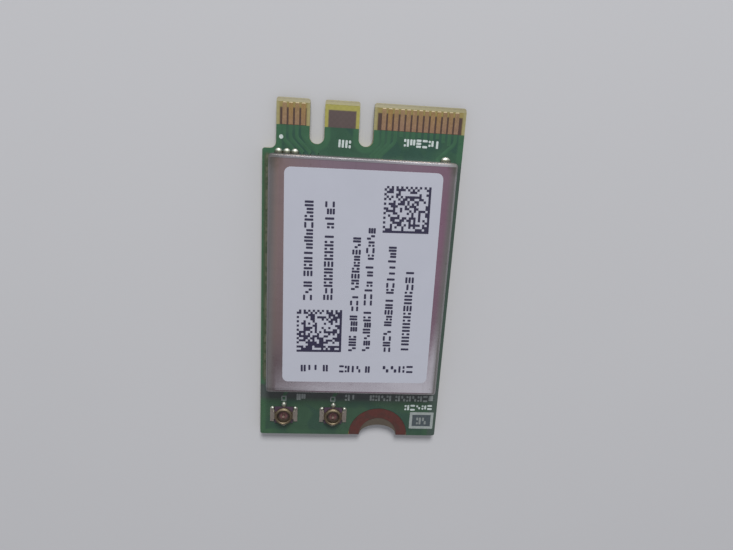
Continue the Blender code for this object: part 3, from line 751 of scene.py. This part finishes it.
def socket_material(name, values):
    """Dull gold on the ring, paler on the pin, pale tin on the feet and the signal terminal."""
    body_low, body_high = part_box(name + "_insulator")
    material, tree, shader = new_material(name.replace("_", " ") + " plating", 0.4, 1.0)
    x, y, _, _ = object_axes(tree)
    middle = (body_low + body_high) / 2
    half = (body_high - body_low) / 2
    across = apart(tree, x, middle.x)
    along = apart(tree, y, middle.y)
    foot = ramp(tree, across, half.x - 0.02 * MM, half.x + 0.05 * MM)
    end = ramp(tree, along, half.y - 0.02 * MM, half.y + 0.04 * MM)
    pin = ramp(tree, most(tree, across, along), 0.30 * MM, 0.24 * MM)
    layers = ((most(tree, foot, end), (0.43, 0.405, 0.355)), (pin, (0.52, 0.42, 0.35)))
    set_colour(tree, shader, lay_over(tree, values.socket_gold, layers), 3000.0, 0.2)
    set_rough(tree, shader, 4000.0, 0.46, 0.62)
    set_grain(tree, shader, 12000.0, 3500.0, 0.8, 0.35, 0.006 * MM)
    return material


def insulator_material(name):
    """Dark moulding, purple outside the socket's ring and reddish in its middle."""
    low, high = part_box(name + "_insulator")
    material, tree, shader = new_material(name.replace("_", " ") + " moulding", 0.5)
    x, y, _, _ = object_axes(tree)
    aside = minus(tree, x, (low.x + high.x) / 2)
    along = minus(tree, y, (low.y + high.y) / 2)
    radius = length_of(tree, aside, along)
    layers = (
        (ramp(tree, radius, 0.26 * MM, 0.50 * MM), (0.052, 0.040, 0.034)),
        (ramp(tree, radius, 0.60 * MM, 0.68 * MM), (0.066, 0.040, 0.066)),
    )
    set_colour(tree, shader, lay_over(tree, (0.150, 0.068, 0.072), layers), 3500.0, 0.25)
    set_rough(tree, shader, 2600.0, 0.36, 0.52)
    set_grain(tree, shader, 14000.0, 4000.0, 0.4, 0.4, 0.006 * MM)
    return material


def moulding_material(name, colour):
    """A moulded or fired package with a matt, finely pitted face."""
    material, tree, shader = new_material(name, 0.5)
    set_colour(tree, shader, colour, 3500.0, 0.2)
    set_rough(tree, shader, 2600.0, 0.42, 0.6)
    set_grain(tree, shader, 14000.0, 4000.0, 0.4, 0.4, 0.006 * MM)
    return material


def solder_material(name, values, front=None):
    """Solder; a lump with a front at this y is darkened by flux and painted shade over all but a
    strip behind it, where its glint shows.
    """
    material, tree, shader = new_material(name, 0.4, 1.0)
    base = values.solder
    if front is not None:
        y = object_axes(tree)[1]
        # Painted shade: the lump is dark outside a narrow strip so that its glint stays flat and
        # narrow; the dark tone is partly flux
        bare_glint_strip = times(
            tree,
            ramp(tree, y, front - 0.27 * MM, front - 0.19 * MM),
            ramp(tree, y, front - 0.02 * MM, front - 0.07 * MM),
        )
        base = mix_colour(tree, bare_glint_strip, (0.15, 0.158, 0.118), values.solder)
    set_colour(tree, shader, base, 2600.0, 0.14)
    set_rough(tree, shader, 3800.0, 0.40, 0.54)
    set_grain(tree, shader, 8000.0, 2600.0, 1.4, 0.3, 0.01 * MM)
    return material


def floor_material(colour):
    material, tree, shader = new_material("pale floor", 0.6)
    shader.inputs["Specular IOR Level"].default_value = 0.2
    set_colour(tree, shader, colour, 25.0, 0.02)
    set_grain(tree, shader, 2500.0, 300.0, 0.5, 0.05, 0.01 * MM)
    return material


def finish_node(name, material):
    """Gives a solid of the frame its finish."""
    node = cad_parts[name]
    if not node.material_slots:
        node.data.materials.append(material)
    for slot in node.material_slots:
        slot.material = material


# Modelling by hand


def deselect_all():
    if bpy.context.object and bpy.context.object.mode != "OBJECT":
        bpy.ops.object.mode_set(mode="OBJECT")
    bpy.ops.object.select_all(action="DESELECT")


def open_piece(name):
    """Starts a piece as an empty mesh at the origin and leaves it in edit mode."""
    deselect_all()
    bpy.ops.mesh.primitive_plane_add(size=MM, location=(0.0, 0.0, 0.0))
    piece = bpy.context.object
    piece.name = name
    piece.data.name = name
    bpy.ops.object.mode_set(mode="EDIT")
    bpy.ops.mesh.select_all(action="SELECT")
    bpy.ops.mesh.delete(type="VERT")
    return piece


def add_block(centre, size, turn=0.0):
    """A block at its place in the piece that is open in edit mode."""
    bpy.ops.mesh.primitive_cube_add(
        size=1.0, location=centre, rotation=(0.0, 0.0, turn), scale=size
    )


def face_outwards():
    """Turns all faces of the piece that is open in edit mode to the outside."""
    bpy.ops.mesh.select_all(action="SELECT")
    bpy.ops.mesh.normals_make_consistent(inside=False)


def close_piece(piece, material, smooth=None):
    """Leaves edit mode and gives the piece its finish and its body."""
    bpy.ops.object.mode_set(mode="OBJECT")
    if not piece.data.polygons:
        raise RuntimeError(f"{piece.name} came out empty")
    piece.data.materials.clear()
    piece.data.materials.append(material)
    if smooth:
        bpy.ops.object.shade_smooth_by_angle(angle=math.radians(smooth))
    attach(piece, "root")


def soften_upright_edges(width):
    """Rounds the blocks' upright edges in plan."""
    mesh = bpy.context.object.data
    bpy.ops.mesh.select_mode(type="EDGE")
    bpy.ops.object.mode_set(mode="OBJECT")
    for item in (mesh.vertices, mesh.edges, mesh.polygons):
        item.foreach_set("select", [False] * len(item))
    for edge in mesh.edges:
        run = mesh.vertices[edge.vertices[0]].co - mesh.vertices[edge.vertices[1]].co
        edge.select = max(abs(run.x), abs(run.y)) < MERGE_DISTANCE
    bpy.ops.object.mode_set(mode="EDIT")
    bpy.ops.mesh.bevel(offset=width, offset_type="OFFSET", segments=2, affect="EDGES")


def move_to_origin(piece):
    """Puts a piece's place into its mesh."""
    deselect_all()
    piece.select_set(True)
    bpy.context.view_layer.objects.active = piece
    bpy.ops.object.transform_apply(location=True, rotation=True, scale=True)


# Print

# Each mark's strokes as (middle across, middle up, width, height), as parts of the mark
STROKE_SETS = (
    ((0.12, 0.5, 0.24, 1.0), (0.88, 0.5, 0.24, 1.0)),
    ((0.5, 0.1, 1.0, 0.2), (0.5, 0.9, 1.0, 0.2)),
    ((0.5, 0.1, 1.0, 0.2), (0.5, 0.5, 1.0, 0.2), (0.5, 0.9, 1.0, 0.2)),
    ((0.5, 0.5, 0.26, 1.0),),
    ((0.12, 0.5, 0.24, 1.0), (0.88, 0.2, 0.24, 0.4), (0.88, 0.85, 0.24, 0.3)),
    ((0.2, 0.75, 0.4, 0.5), (0.8, 0.25, 0.4, 0.5)),
    ((0.12, 0.2, 0.24, 0.4), (0.12, 0.8, 0.24, 0.4), (0.88, 0.5, 0.24, 1.0)),
)

# Rows of marks, in millimetres: start, end, height, and the marks in each word
LABEL_ROWS = (
    ((-4.18, -1.39), (-4.28, 7.13), 0.72, (3, 11)),
    ((-2.47, -1.32), (-2.60, 7.14), 0.75, (10, 4)),
    ((-0.18, -5.95), (-0.25, 4.28), 0.66, (3, 3, 3, 9)),
    ((1.01, -5.92), (0.88, 5.12), 0.66, (7, 4, 2, 5)),
    ((2.82, -5.91), (2.77, 3.63), 0.66, (4, 5, 8)),
    ((4.45, -5.89), (4.39, 1.69), 0.68, (12,)),
    ((-2.17, -7.54), (-4.64, -7.60), 0.62, (1, 3)),
    ((1.53, -7.58), (-1.27, -7.58), 0.62, (1, 4)),
    ((5.39, -7.48), (2.54, -7.52), 0.62, (4,)),
)
BOARD_ROWS = (
    ((-1.03, 11.62), (-2.16, 11.66), 0.62, (2,)),
    ((6.29, 11.98), (3.22, 12.02), 0.60, (6,)),
    ((-4.11, -11.18), (-4.99, -11.18), 0.62, (2,)),
    ((0.54, -11.17), (-0.54, -11.17), 0.62, (2,)),
    ((7.84, -11.15), (1.77, -11.15), 0.56, (7, 4)),
    ((7.81, -12.08), (5.11, -12.08), 0.52, (5,)),
    ((7.38, -13.46), (6.33, -13.46), 0.72, (2,)),
)

# The gap between words and a mark's width in pitches, and the heights that marks take in a row
WORD_GAP = 0.6
MARK_FILL = 0.8
MARK_HEIGHTS = (1.0, 1.0, 1.0, 0.78)

# The label's code squares, in millimetres: corner, side, and turn in degrees; a dark cell
# leaves a thin line to the next row
CODE_SQUARES = (((1.82, 4.72), 3.84, 1.0), ((-4.99, -6.06), 3.86, 1.0))
CELL_FILL = 0.98

# The framed mark in the tail's right corner, the small frames and the dot, in millimetres
FRAME_ACROSS = (5.72, 7.99)
FRAME_ALONG = (-14.27, -12.55)
FRAME_LINE = 0.26
SMALL_FRAMES = ((-6.35, -5.87), (-1.85, -1.37))
SMALL_FRAME_ALONG = (-11.6, -11.1)
SMALL_FRAME_LINE = 0.10
DOT_PLACE = (-6.74, 11.93)
DOT_RADIUS = 0.17

# Boxes where the pale ink is darker: the row behind the can, under a painted shadow of the can, and
# the frame and the marks in it, where the ink is thinner
THIN_OR_SHADED_MARKS = (
    # Painted shadow of the can over the row of marks behind it
    ((0.0, -11.2), (9.0, 0.5), 0.52),
    ((6.855, -13.41), (1.3, 1.0), 0.56),
    ((6.855, -13.41), (0.86, 0.58), 0.42),
)

# Each piece of print draws its marks from its own seed
CODE_SEED = 41
LABEL_ROW_SEED = 7
BOARD_ROW_SEED = 23


def add_mark_row(start, end, height, words, stroke, thickness, base, rng):
    """A row of plain stroke marks, in words, from start to end on a surface at base."""
    run = end - start
    along = run.normalized()
    up = Vector((-along.y, along.x))
    turn = math.atan2(along.y, along.x)
    pitch = run.length / (sum(words) + (len(words) - 1) * WORD_GAP)
    width = pitch * MARK_FILL
    cursor = start.copy()
    for count in words:
        for _ in range(count):
            tall = height * rng.choice(MARK_HEIGHTS)
            for cx, cy, sx, sy in rng.choice(STROKE_SETS):
                size_x = max(stroke, width * sx) if sx < 0.5 else width * sx
                size_y = max(stroke, tall * sy) if sy < 0.5 else tall * sy
                centre = cursor + along * (pitch * 0.5 + (cx - 0.5) * (width - stroke * 0.5))
                centre = centre + up * ((cy - 0.5) * tall + (tall - height) / 2)
                add_block(
                    (centre.x, centre.y, base + thickness / 2), (size_x, size_y, thickness), turn
                )
            cursor += along * pitch
        cursor += along * pitch * WORD_GAP


def add_mark_rows(rows, values, base, seed):
    rng = random.Random(seed)
    for start, end, height, words in rows:
        ends = [Vector([v * MM for v in point]) for point in (start, end)]
        add_mark_row(*ends, height * MM, words, values.stroke, values.ink_height, base, rng)


def add_code_square(corner, side, turn, cells, thickness, base, rng):
    """A square of cells with two solid sides and two stepped ones, filled at random."""
    cell = side / cells
    ux = Vector((math.cos(turn), math.sin(turn)))
    uy = Vector((-math.sin(turn), math.cos(turn)))
    for row in range(cells):
        run = 0
        for column in range(cells + 1):
            dark = False
            if column < cells:
                if row == 0 or column == cells - 1:
                    dark = True
                elif row == cells - 1:
                    dark = column % 2 == 1
                elif column == 0:
                    dark = row % 2 == 0
                else:
                    dark = rng.random() < 0.5
            if dark:
                run += 1
            elif run:
                centre = corner + ux * cell * (column - run / 2) + uy * cell * (row + 0.5)
                size = (cell * run, cell * CELL_FILL, thickness)
                add_block((centre.x, centre.y, base + thickness / 2), size, turn)
                run = 0


class CARD_OT_label_codes(bpy.types.Operator):
    """Adds the two code squares of the label, with cells at random"""

    bl_idname = "card.label_codes"
    bl_label = "Label codes"

    def execute(self, context):
        values = context.scene.card_print
        rng = random.Random(CODE_SEED)
        base = label_high.z + LABEL_INK_GAP
        height = values.ink_height
        piece = open_piece("label_codes")
        for place, side, degrees in CODE_SQUARES:
            corner = Vector([v * MM for v in place])
            turn = math.radians(degrees)
            add_code_square(corner, side * MM, turn, values.code_cells, height, base, rng)
        face_outwards()
        ink = ink_material("label ink", values.ink, 0.5, 0.25)
        close_piece(piece, ink)
        return {"FINISHED"}


class CARD_OT_label_text(bpy.types.Operator):
    """Adds the label's rows of plain marks"""

    bl_idname = "card.label_text"
    bl_label = "Label rows"

    def execute(self, context):
        values = context.scene.card_print
        piece = open_piece("label_rows")
        add_mark_rows(LABEL_ROWS, values, label_high.z + LABEL_INK_GAP, LABEL_ROW_SEED)
        soften_upright_edges(values.stroke * 0.25)
        ink = ink_material("row ink", values.ink, 0.5, 0.3)
        close_piece(piece, ink)
        return {"FINISHED"}


class CARD_OT_board_marks(bpy.types.Operator):
    """Adds the pale marks printed on the board: rows, a dot, small squares and a filled frame"""

    bl_idname = "card.board_marks"
    bl_label = "Board marks"

    def execute(self, context):
        values = context.scene.card_print
        base = mask_high.z + BOARD_INK_GAP
        height = values.ink_height
        piece = open_piece("board_marks")
        add_mark_rows(BOARD_ROWS, values, base, BOARD_ROW_SEED)
        self.add_frame(FRAME_ACROSS, FRAME_ALONG, FRAME_LINE, height, base)
        for across in SMALL_FRAMES:
            self.add_frame(across, SMALL_FRAME_ALONG, SMALL_FRAME_LINE, height, base)
        soften_upright_edges(values.stroke * 0.3)
        dot_x, dot_y = DOT_PLACE
        bpy.ops.mesh.primitive_cylinder_add(
            vertices=24,
            radius=DOT_RADIUS * MM,
            depth=height,
            location=(dot_x * MM, dot_y * MM, base + height / 2),
        )
        marks = ink_material("board mark ink", values.marks, 0.55, 0.3, THIN_OR_SHADED_MARKS)
        close_piece(piece, marks)
        self.add_field(values)
        return {"FINISHED"}

    @staticmethod
    def add_frame(x_span, y_span, line, thickness, base):
        """Four bars round a rectangle given in millimetres."""
        (x0, x1), (y0, y1) = x_span, y_span
        z = base + thickness / 2
        middle_x, middle_y = (x0 + x1) / 2, (y0 + y1) / 2
        for y in (y0 + line / 2, y1 - line / 2):
            add_block((middle_x * MM, y * MM, z), ((x1 - x0) * MM, line * MM, thickness))
        for x in (x0 + line / 2, x1 - line / 2):
            size = (line * MM, (y1 - y0 - 2 * line) * MM, thickness)
            add_block((x * MM, middle_y * MM, z), size)

    @staticmethod
    def add_field(values):
        """The thin ink inside the framed mark, lower than its bars."""
        height = values.ink_height
        (x0, x1), (y0, y1) = FRAME_ACROSS, FRAME_ALONG
        field = open_piece("mark_field")
        middle = ((x0 + x1) / 2 * MM, (y0 + y1) / 2 * MM, mask_high.z + height * 0.2)
        size = ((x1 - x0 - FRAME_LINE) * MM, (y1 - y0 - FRAME_LINE) * MM, height * 0.3)
        add_block(middle, size)
        soften_upright_edges(values.stroke * 0.5)
        thin = ink_material("thin mark ink", values.field, 0.5, 0.35)
        close_piece(field, thin)


# Tracks

# Right-hand fingers whose tracks run on to the can; the others stop short at a via
THROUGH_FINGERS = (0, 1, 2, 12)

# All in millimetres. How far behind the contacts the first track bends, how much sooner each
# next one does, and the last straight run before the can, on the left and the right tongue
TRACK_GAP = 0.02
LEFT_BENDS = (1.15, 0.1, 0.15)
RIGHT_BENDS = (1.2, 0.15, 0.1)
STUB = 0.45
STUB_STEP = 0.25
SOCKET_RUN = 0.8
SOCKET_JOG = 0.3
CORNER_CUT = 0.18


def finger_x(pin):
    low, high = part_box(f"contact_top_{pin:02d}")
    return (low.x + high.x) / 2 / MM


def slanted_route(x, back, order, bends, side):
    """Straight back from a finger, to one side at 45 degrees, and straight on to the can."""
    first, step, run_in = bends
    can_edge = can_high.y / MM
    bend = back - first + step * order
    aside = bend - can_edge - run_in
    return [(x, back), (x, bend), (x + side * aside, bend - aside), (x + side * aside, can_edge)]


def track_routes():
    """Routes of the covered tracks as lists of (x, y) in millimetres."""
    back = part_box("contact_top_01")[0].y / MM - TRACK_GAP
    routes = []
    for i, pin in enumerate(LEFT_FINGERS):
        routes.append(slanted_route(finger_x(pin), back, i, LEFT_BENDS, 1))
    for i, pin in enumerate(RIGHT_FINGERS):
        x = finger_x(pin)
        if i in THROUGH_FINGERS:
            routes.append(slanted_route(x, back, min(i, 3), RIGHT_BENDS, -1))
        else:
            routes.append([(x, back), (x, back - STUB - STUB_STEP * (i % 3))])
    for name in SOCKETS:
        low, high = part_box(name + "_centre_contact")
        x, end = (low.x + high.x) / 2 / MM, high.y / MM
        bend, beside = end + SOCKET_RUN, x + SOCKET_JOG
        routes.append([(x, end), (x, bend), (beside, bend + SOCKET_JOG), (beside, can_low.y / MM)])
    return routes


class CARD_OT_board_tracks(bpy.types.Operator):
    """Adds the covered tracks that lift the mask between the contacts, can and sockets"""

    bl_idname = "card.board_tracks"
    bl_label = "Covered tracks"

    def execute(self, context):
        values = context.scene.card_tracks
        deselect_all()
        curve = bpy.data.curves.new("board_tracks", "CURVE")
        curve.dimensions = "3D"
        curve.bevel_depth = values.width / 2
        curve.bevel_resolution = 1
        curve.use_fill_caps = True
        for route in track_routes():
            spline = curve.splines.new("POLY")
            points = self.softened([Vector(point) for point in route], CORNER_CUT)
            spline.points.add(len(points) - 1)
            for place, point in zip(spline.points, points):
                place.co = (point.x * MM, point.y * MM, 0.0, 1.0)
        piece = bpy.data.objects.new("board_tracks", curve)
        context.scene.collection.objects.link(piece)
        piece.select_set(True)
        context.view_layer.objects.active = piece
        bpy.ops.object.convert(target="MESH")
        piece.scale.z = values.height / (values.width / 2)
        piece.location.z = mask_high.z
        move_to_origin(piece)
        bpy.ops.object.mode_set(mode="EDIT")
        bpy.ops.mesh.select_all(action="SELECT")
        bpy.ops.mesh.remove_doubles(threshold=MERGE_DISTANCE)
        bpy.ops.mesh.normals_make_consistent(inside=False)
        close_piece(piece, track_material(values), smooth=60)
        return {"FINISHED"}

    @staticmethod
    def softened(points, cut):
        """A route with its inner corners cut twice, in millimetres."""
        result = [points[0]]
        for before, corner, after in zip(points, points[1:], points[2:]):
            back = (before - corner).normalized() * cut
            onward = (after - corner).normalized() * cut
            result += [corner + back, corner + back * 0.3 + onward * 0.3, corner + onward]
        return result + [points[-1]]


# Solder at the sockets


class CARD_OT_socket_solder(bpy.types.Operator):
    """Adds solder beads over the ends of the sockets' feet and signal terminals"""

    bl_idname = "card.socket_solder"
    bl_label = "Socket solder"

    def execute(self, context):
        values = context.scene.card_metals
        piece = open_piece("socket_solder")
        for name in SOCKETS:
            self.add_socket_beads(name, values.bead_size)
        bpy.ops.mesh.select_all(action="SELECT")
        bpy.ops.mesh.bisect(
            plane_co=(0.0, 0.0, mask_high.z + SOLDER_GAP),
            plane_no=(0.0, 0.0, 1.0),
            use_fill=True,
            clear_inner=True,
            threshold=CUT_TOLERANCE,
        )
        face_outwards()
        close_piece(piece, solder_material("bead solder", values), smooth=40)
        return {"FINISHED"}

    def add_socket_beads(self, name, radius):
        """Beads at the front and rear of both feet, over the terminal and at the rear lug."""
        low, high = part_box(name + "_socket")
        body_low, body_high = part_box(name + "_insulator")
        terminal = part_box(name + "_centre_contact")[1]
        middle = (body_low + body_high) / 2
        foot = (body_low.x - low.x) / 2
        front = middle.y + SOCKET_FOOT_LENGTH / 2
        rear = middle.y - SOCKET_FOOT_LENGTH / 2
        for x in (low.x + foot, high.x - foot):
            self.add_bead((x, front - radius * 0.3), (foot, radius, radius * 0.85))
            self.add_bead((x, rear), (foot * 0.85, radius * 0.35, radius * 0.55))
        covered = terminal.y - body_high.y
        place = (middle.x, body_high.y + covered * 0.55)
        self.add_bead(place, (radius * 1.25, covered * 0.72, radius * 1.25))
        self.add_bead((middle.x, low.y), (radius * 0.95, radius * 0.5, radius * 0.7))

    @staticmethod
    def add_bead(place, radii):
        bpy.ops.mesh.primitive_uv_sphere_add(
            segments=20,
            ring_count=12,
            radius=1.0,
            location=(place[0], place[1], mask_high.z),
            scale=radii,
        )


# Finishes of the solids


class CARD_OT_finish_board(bpy.types.Operator):
    """Gives the laminate, the solder mask, the fingers and the screw rings their finishes"""

    bl_idname = "card.finish_board"
    bl_label = "Board finishes"

    def execute(self, context):
        board = context.scene.card_board
        finish_node("circuit_board", laminate_material(board))
        mask = mask_material(board)
        copper = copper_material(board)
        for side in ("top", "bottom"):
            finish_node(f"solder_mask_{side}", mask)
            finish_node(f"screw_ring_{side}", copper)
        gold = finger_material(context.scene.card_metals)
        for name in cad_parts:
            if name.startswith("contact_"):
                finish_node(name, gold)
        return {"FINISHED"}


class CARD_OT_finish_can(bpy.types.Operator):
    """Gives the shield can, its label and its solder joints their finishes"""

    bl_idname = "card.finish_can"
    bl_label = "Can and label finishes"

    def execute(self, context):
        metals = context.scene.card_metals
        finish_node("shield_can", can_material(metals))
        finish_node("label", film_material(context.scene.card_print))
        joint = solder_material("solder with flux and painted shade", metals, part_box("solder_joint_left")[1].y)
        finish_node("solder_joint_left", joint)
        finish_node("solder_joint_right", joint)
        return {"FINISHED"}


class CARD_OT_finish_sockets(bpy.types.Operator):
    """Gives the coaxial sockets their plating and their dark moulding"""

    bl_idname = "card.finish_sockets"
    bl_label = "Socket finishes"

    def execute(self, context):
        metals = context.scene.card_metals
        for name in SOCKETS:
            plating = socket_material(name, metals)
            finish_node(name + "_insulator", insulator_material(name))
            finish_node(name + "_socket", plating)
            finish_node(name + "_centre_contact", plating)
        return {"FINISHED"}


class CARD_OT_finish_inner_parts(bpy.types.Operator):
    """Gives the parts under the can their finishes"""

    bl_idname = "card.finish_inner_parts"
    bl_label = "Inner part finishes"

    def execute(self, context):
        package = moulding_material("package moulding", (0.03, 0.03, 0.033))
        for name in INNER_PACKAGES:
            finish_node(name, package)
        finish_node("reference_crystal", moulding_material("crystal ceramic", (0.42, 0.36, 0.27)))
        finish_node("power_inductor", moulding_material("ferrite", (0.08, 0.08, 0.085)))
        ceramic = moulding_material("capacitor ceramic", (0.36, 0.27, 0.19))
        for i in range(4):
            finish_node(f"capacitor_{i + 1}", ceramic)
        return {"FINISHED"}


# Stage


def reflected_room(tree):
    """What metal sees, by direction: dim overhead, pale towards +Y and in a panel towards -Y.

    Directions are read where they cross a ceiling at height 1, as across (x) and along (y).
    """
    direction = add_node(tree, "ShaderNodeTexCoord")
    split = add_node(tree, "ShaderNodeSeparateXYZ")
    tree.links.new(direction.outputs["Generated"], split.inputs[0])
    x, y, z = split.outputs
    height = most(tree, z, 0.05)
    across = math_node(tree, "DIVIDE", x, height)
    along = math_node(tree, "DIVIDE", y, height)
    off_axis = apart(tree, across, 0.065)
    low = times(tree, ramp(tree, along, -0.12, -0.5), 0.45)
    low_left = times(
        tree, ramp(tree, along, -0.41, -0.45), ramp(tree, across, -0.03, -0.07), 0.58
    )
    panel_edge = math_node(tree, "MULTIPLY_ADD", across, 0.28, -0.492)
    panel = times(
        tree,
        ramp(tree, minus(tree, panel_edge, along), -0.02, 0.02),
        ramp(tree, along, -0.67, -0.59),
        ramp(tree, off_axis, 0.32, 0.24),
        ramp(tree, across, -0.128, -0.100),
    )
    layers = (
        (ramp(tree, across, -0.13, 0.03), (0.30, 0.22, 0.285)),
        (ramp(tree, across, 0.12, 0.24), (0.30, 0.175, 0.245)),
        (low, (0.1, 0.08, 0.09)),
        (low_left, (0.07, 0.05, 0.07)),
        (ramp(tree, off_axis, 0.18, 0.3), (0.212, 0.208, 0.205)),
        (ramp(tree, along, -0.02, 0.03), (0.285, 0.262, 0.262)),
        (panel, (0.655, 0.655, 0.71)),
        (ramp(tree, along, 0.18, 0.34), (0.76, 0.77, 0.82)),
    )
    return lay_over(tree, (0.31, 0.235, 0.215), layers)


class CARD_OT_stage(bpy.types.Operator):
    """Adds the floor, the soft surroundings, the key lamp and the camera"""

    bl_idname = "card.stage"
    bl_label = "Stage"

    def execute(self, context):
        values = context.scene.card_stage
        self.add_floor(values)
        self.add_key_lamp(context, values)
        self.add_sky(context, values)
        self.add_camera(context)
        context.scene.view_settings.view_transform = "Standard"
        return {"FINISHED"}

    @staticmethod
    def add_floor(values):
        deselect_all()
        bpy.ops.mesh.primitive_plane_add(size=FLOOR_SIDE, location=(0.0, 0.0, -FLOOR_DROP))
        floor = bpy.context.object
        floor.name = "floor"
        floor.data.materials.append(floor_material(values.floor))

    @staticmethod
    def add_key_lamp(context, values):
        toward = KEY_LAMP_TOWARD.normalized()
        lamp = bpy.data.lights.new("key lamp", "AREA")
        lamp.energy = values.key_power
        lamp.size = values.key_size
        lamp.color = (1.0, 0.99, 0.975)
        holder = bpy.data.objects.new("key lamp", lamp)
        holder.location = toward * KEY_LAMP_DISTANCE
        holder.rotation_euler = toward.to_track_quat("Z", "Y").to_euler()
        context.scene.collection.objects.link(holder)

    @staticmethod
    def add_sky(context, values):
        """A soft even fill, with a dim room and a pale panel for metal to reflect."""
        world = bpy.data.worlds.new("soft surroundings")
        context.scene.world = world
        world.use_nodes = True
        tree = world.node_tree
        rays = add_node(tree, "ShaderNodeLightPath")
        fill = [part * values.fill for part in (0.98, 0.985, 1.03)]
        far = [part * values.backdrop for part in (0.98, 0.985, 1.01)]
        seen = mix_colour(tree, rays.outputs["Is Camera Ray"], fill, far)
        colour = mix_colour(tree, rays.outputs["Is Glossy Ray"], seen, reflected_room(tree))
        tree.links.new(colour, tree.nodes["Background"].inputs["Color"])

    @staticmethod
    def add_camera(context):
        camera = bpy.data.cameras.new("camera")
        camera.lens = CAMERA_LENS
        camera.sensor_width = CAMERA_SENSOR
        camera.clip_start = 0.002
        camera.clip_end = 10.0
        holder = bpy.data.objects.new("camera", camera)
        holder.location = CAMERA_PLACE
        right = CAMERA_FORWARD.cross(CAMERA_UP)
        turn = Matrix((right, CAMERA_UP, -CAMERA_FORWARD)).transposed()
        holder.rotation_euler = turn.to_euler()
        context.scene.collection.objects.link(holder)
        context.scene.camera = holder


class CARD_PT_panel(bpy.types.Panel):
    """Lists the steps that dress the card"""

    bl_idname = "CARD_PT_panel"
    bl_label = "Wifi card"
    bl_space_type = "VIEW_3D"
    bl_region_type = "UI"
    bl_category = "Wifi card"

    def draw(self, context):
        for operator in OPERATORS:
            self.layout.operator(operator.bl_idname)
        for name in VALUE_GROUPS:
            group = getattr(context.scene, name)
            for key in group.__annotations__:
                self.layout.prop(group, key)


OPERATORS = (
    CARD_OT_finish_board,
    CARD_OT_finish_can,
    CARD_OT_finish_sockets,
    CARD_OT_finish_inner_parts,
    CARD_OT_label_codes,
    CARD_OT_label_text,
    CARD_OT_board_marks,
    CARD_OT_board_tracks,
    CARD_OT_socket_solder,
    CARD_OT_stage,
)
VALUE_GROUPS = {
    "card_board": CardBoardValues,
    "card_metals": CardMetalValues,
    "card_print": CardPrintValues,
    "card_tracks": CardTrackValues,
    "card_stage": CardStageValues,
}


def register():
    for name, group in VALUE_GROUPS.items():
        bpy.utils.register_class(group)
        setattr(bpy.types.Scene, name, bpy.props.PointerProperty(type=group))
    for operator in OPERATORS:
        bpy.utils.register_class(operator)
    bpy.utils.register_class(CARD_PT_panel)


def unregister():
    bpy.utils.unregister_class(CARD_PT_panel)
    for operator in reversed(OPERATORS):
        bpy.utils.unregister_class(operator)
    for name, group in VALUE_GROUPS.items():
        delattr(bpy.types.Scene, name)
        bpy.utils.unregister_class(group)


def main():
    register()
    for operator in OPERATORS:
        family, name = operator.bl_idname.split(".")
        getattr(getattr(bpy.ops, family), name)()


if __name__ == "__main__":
    main()
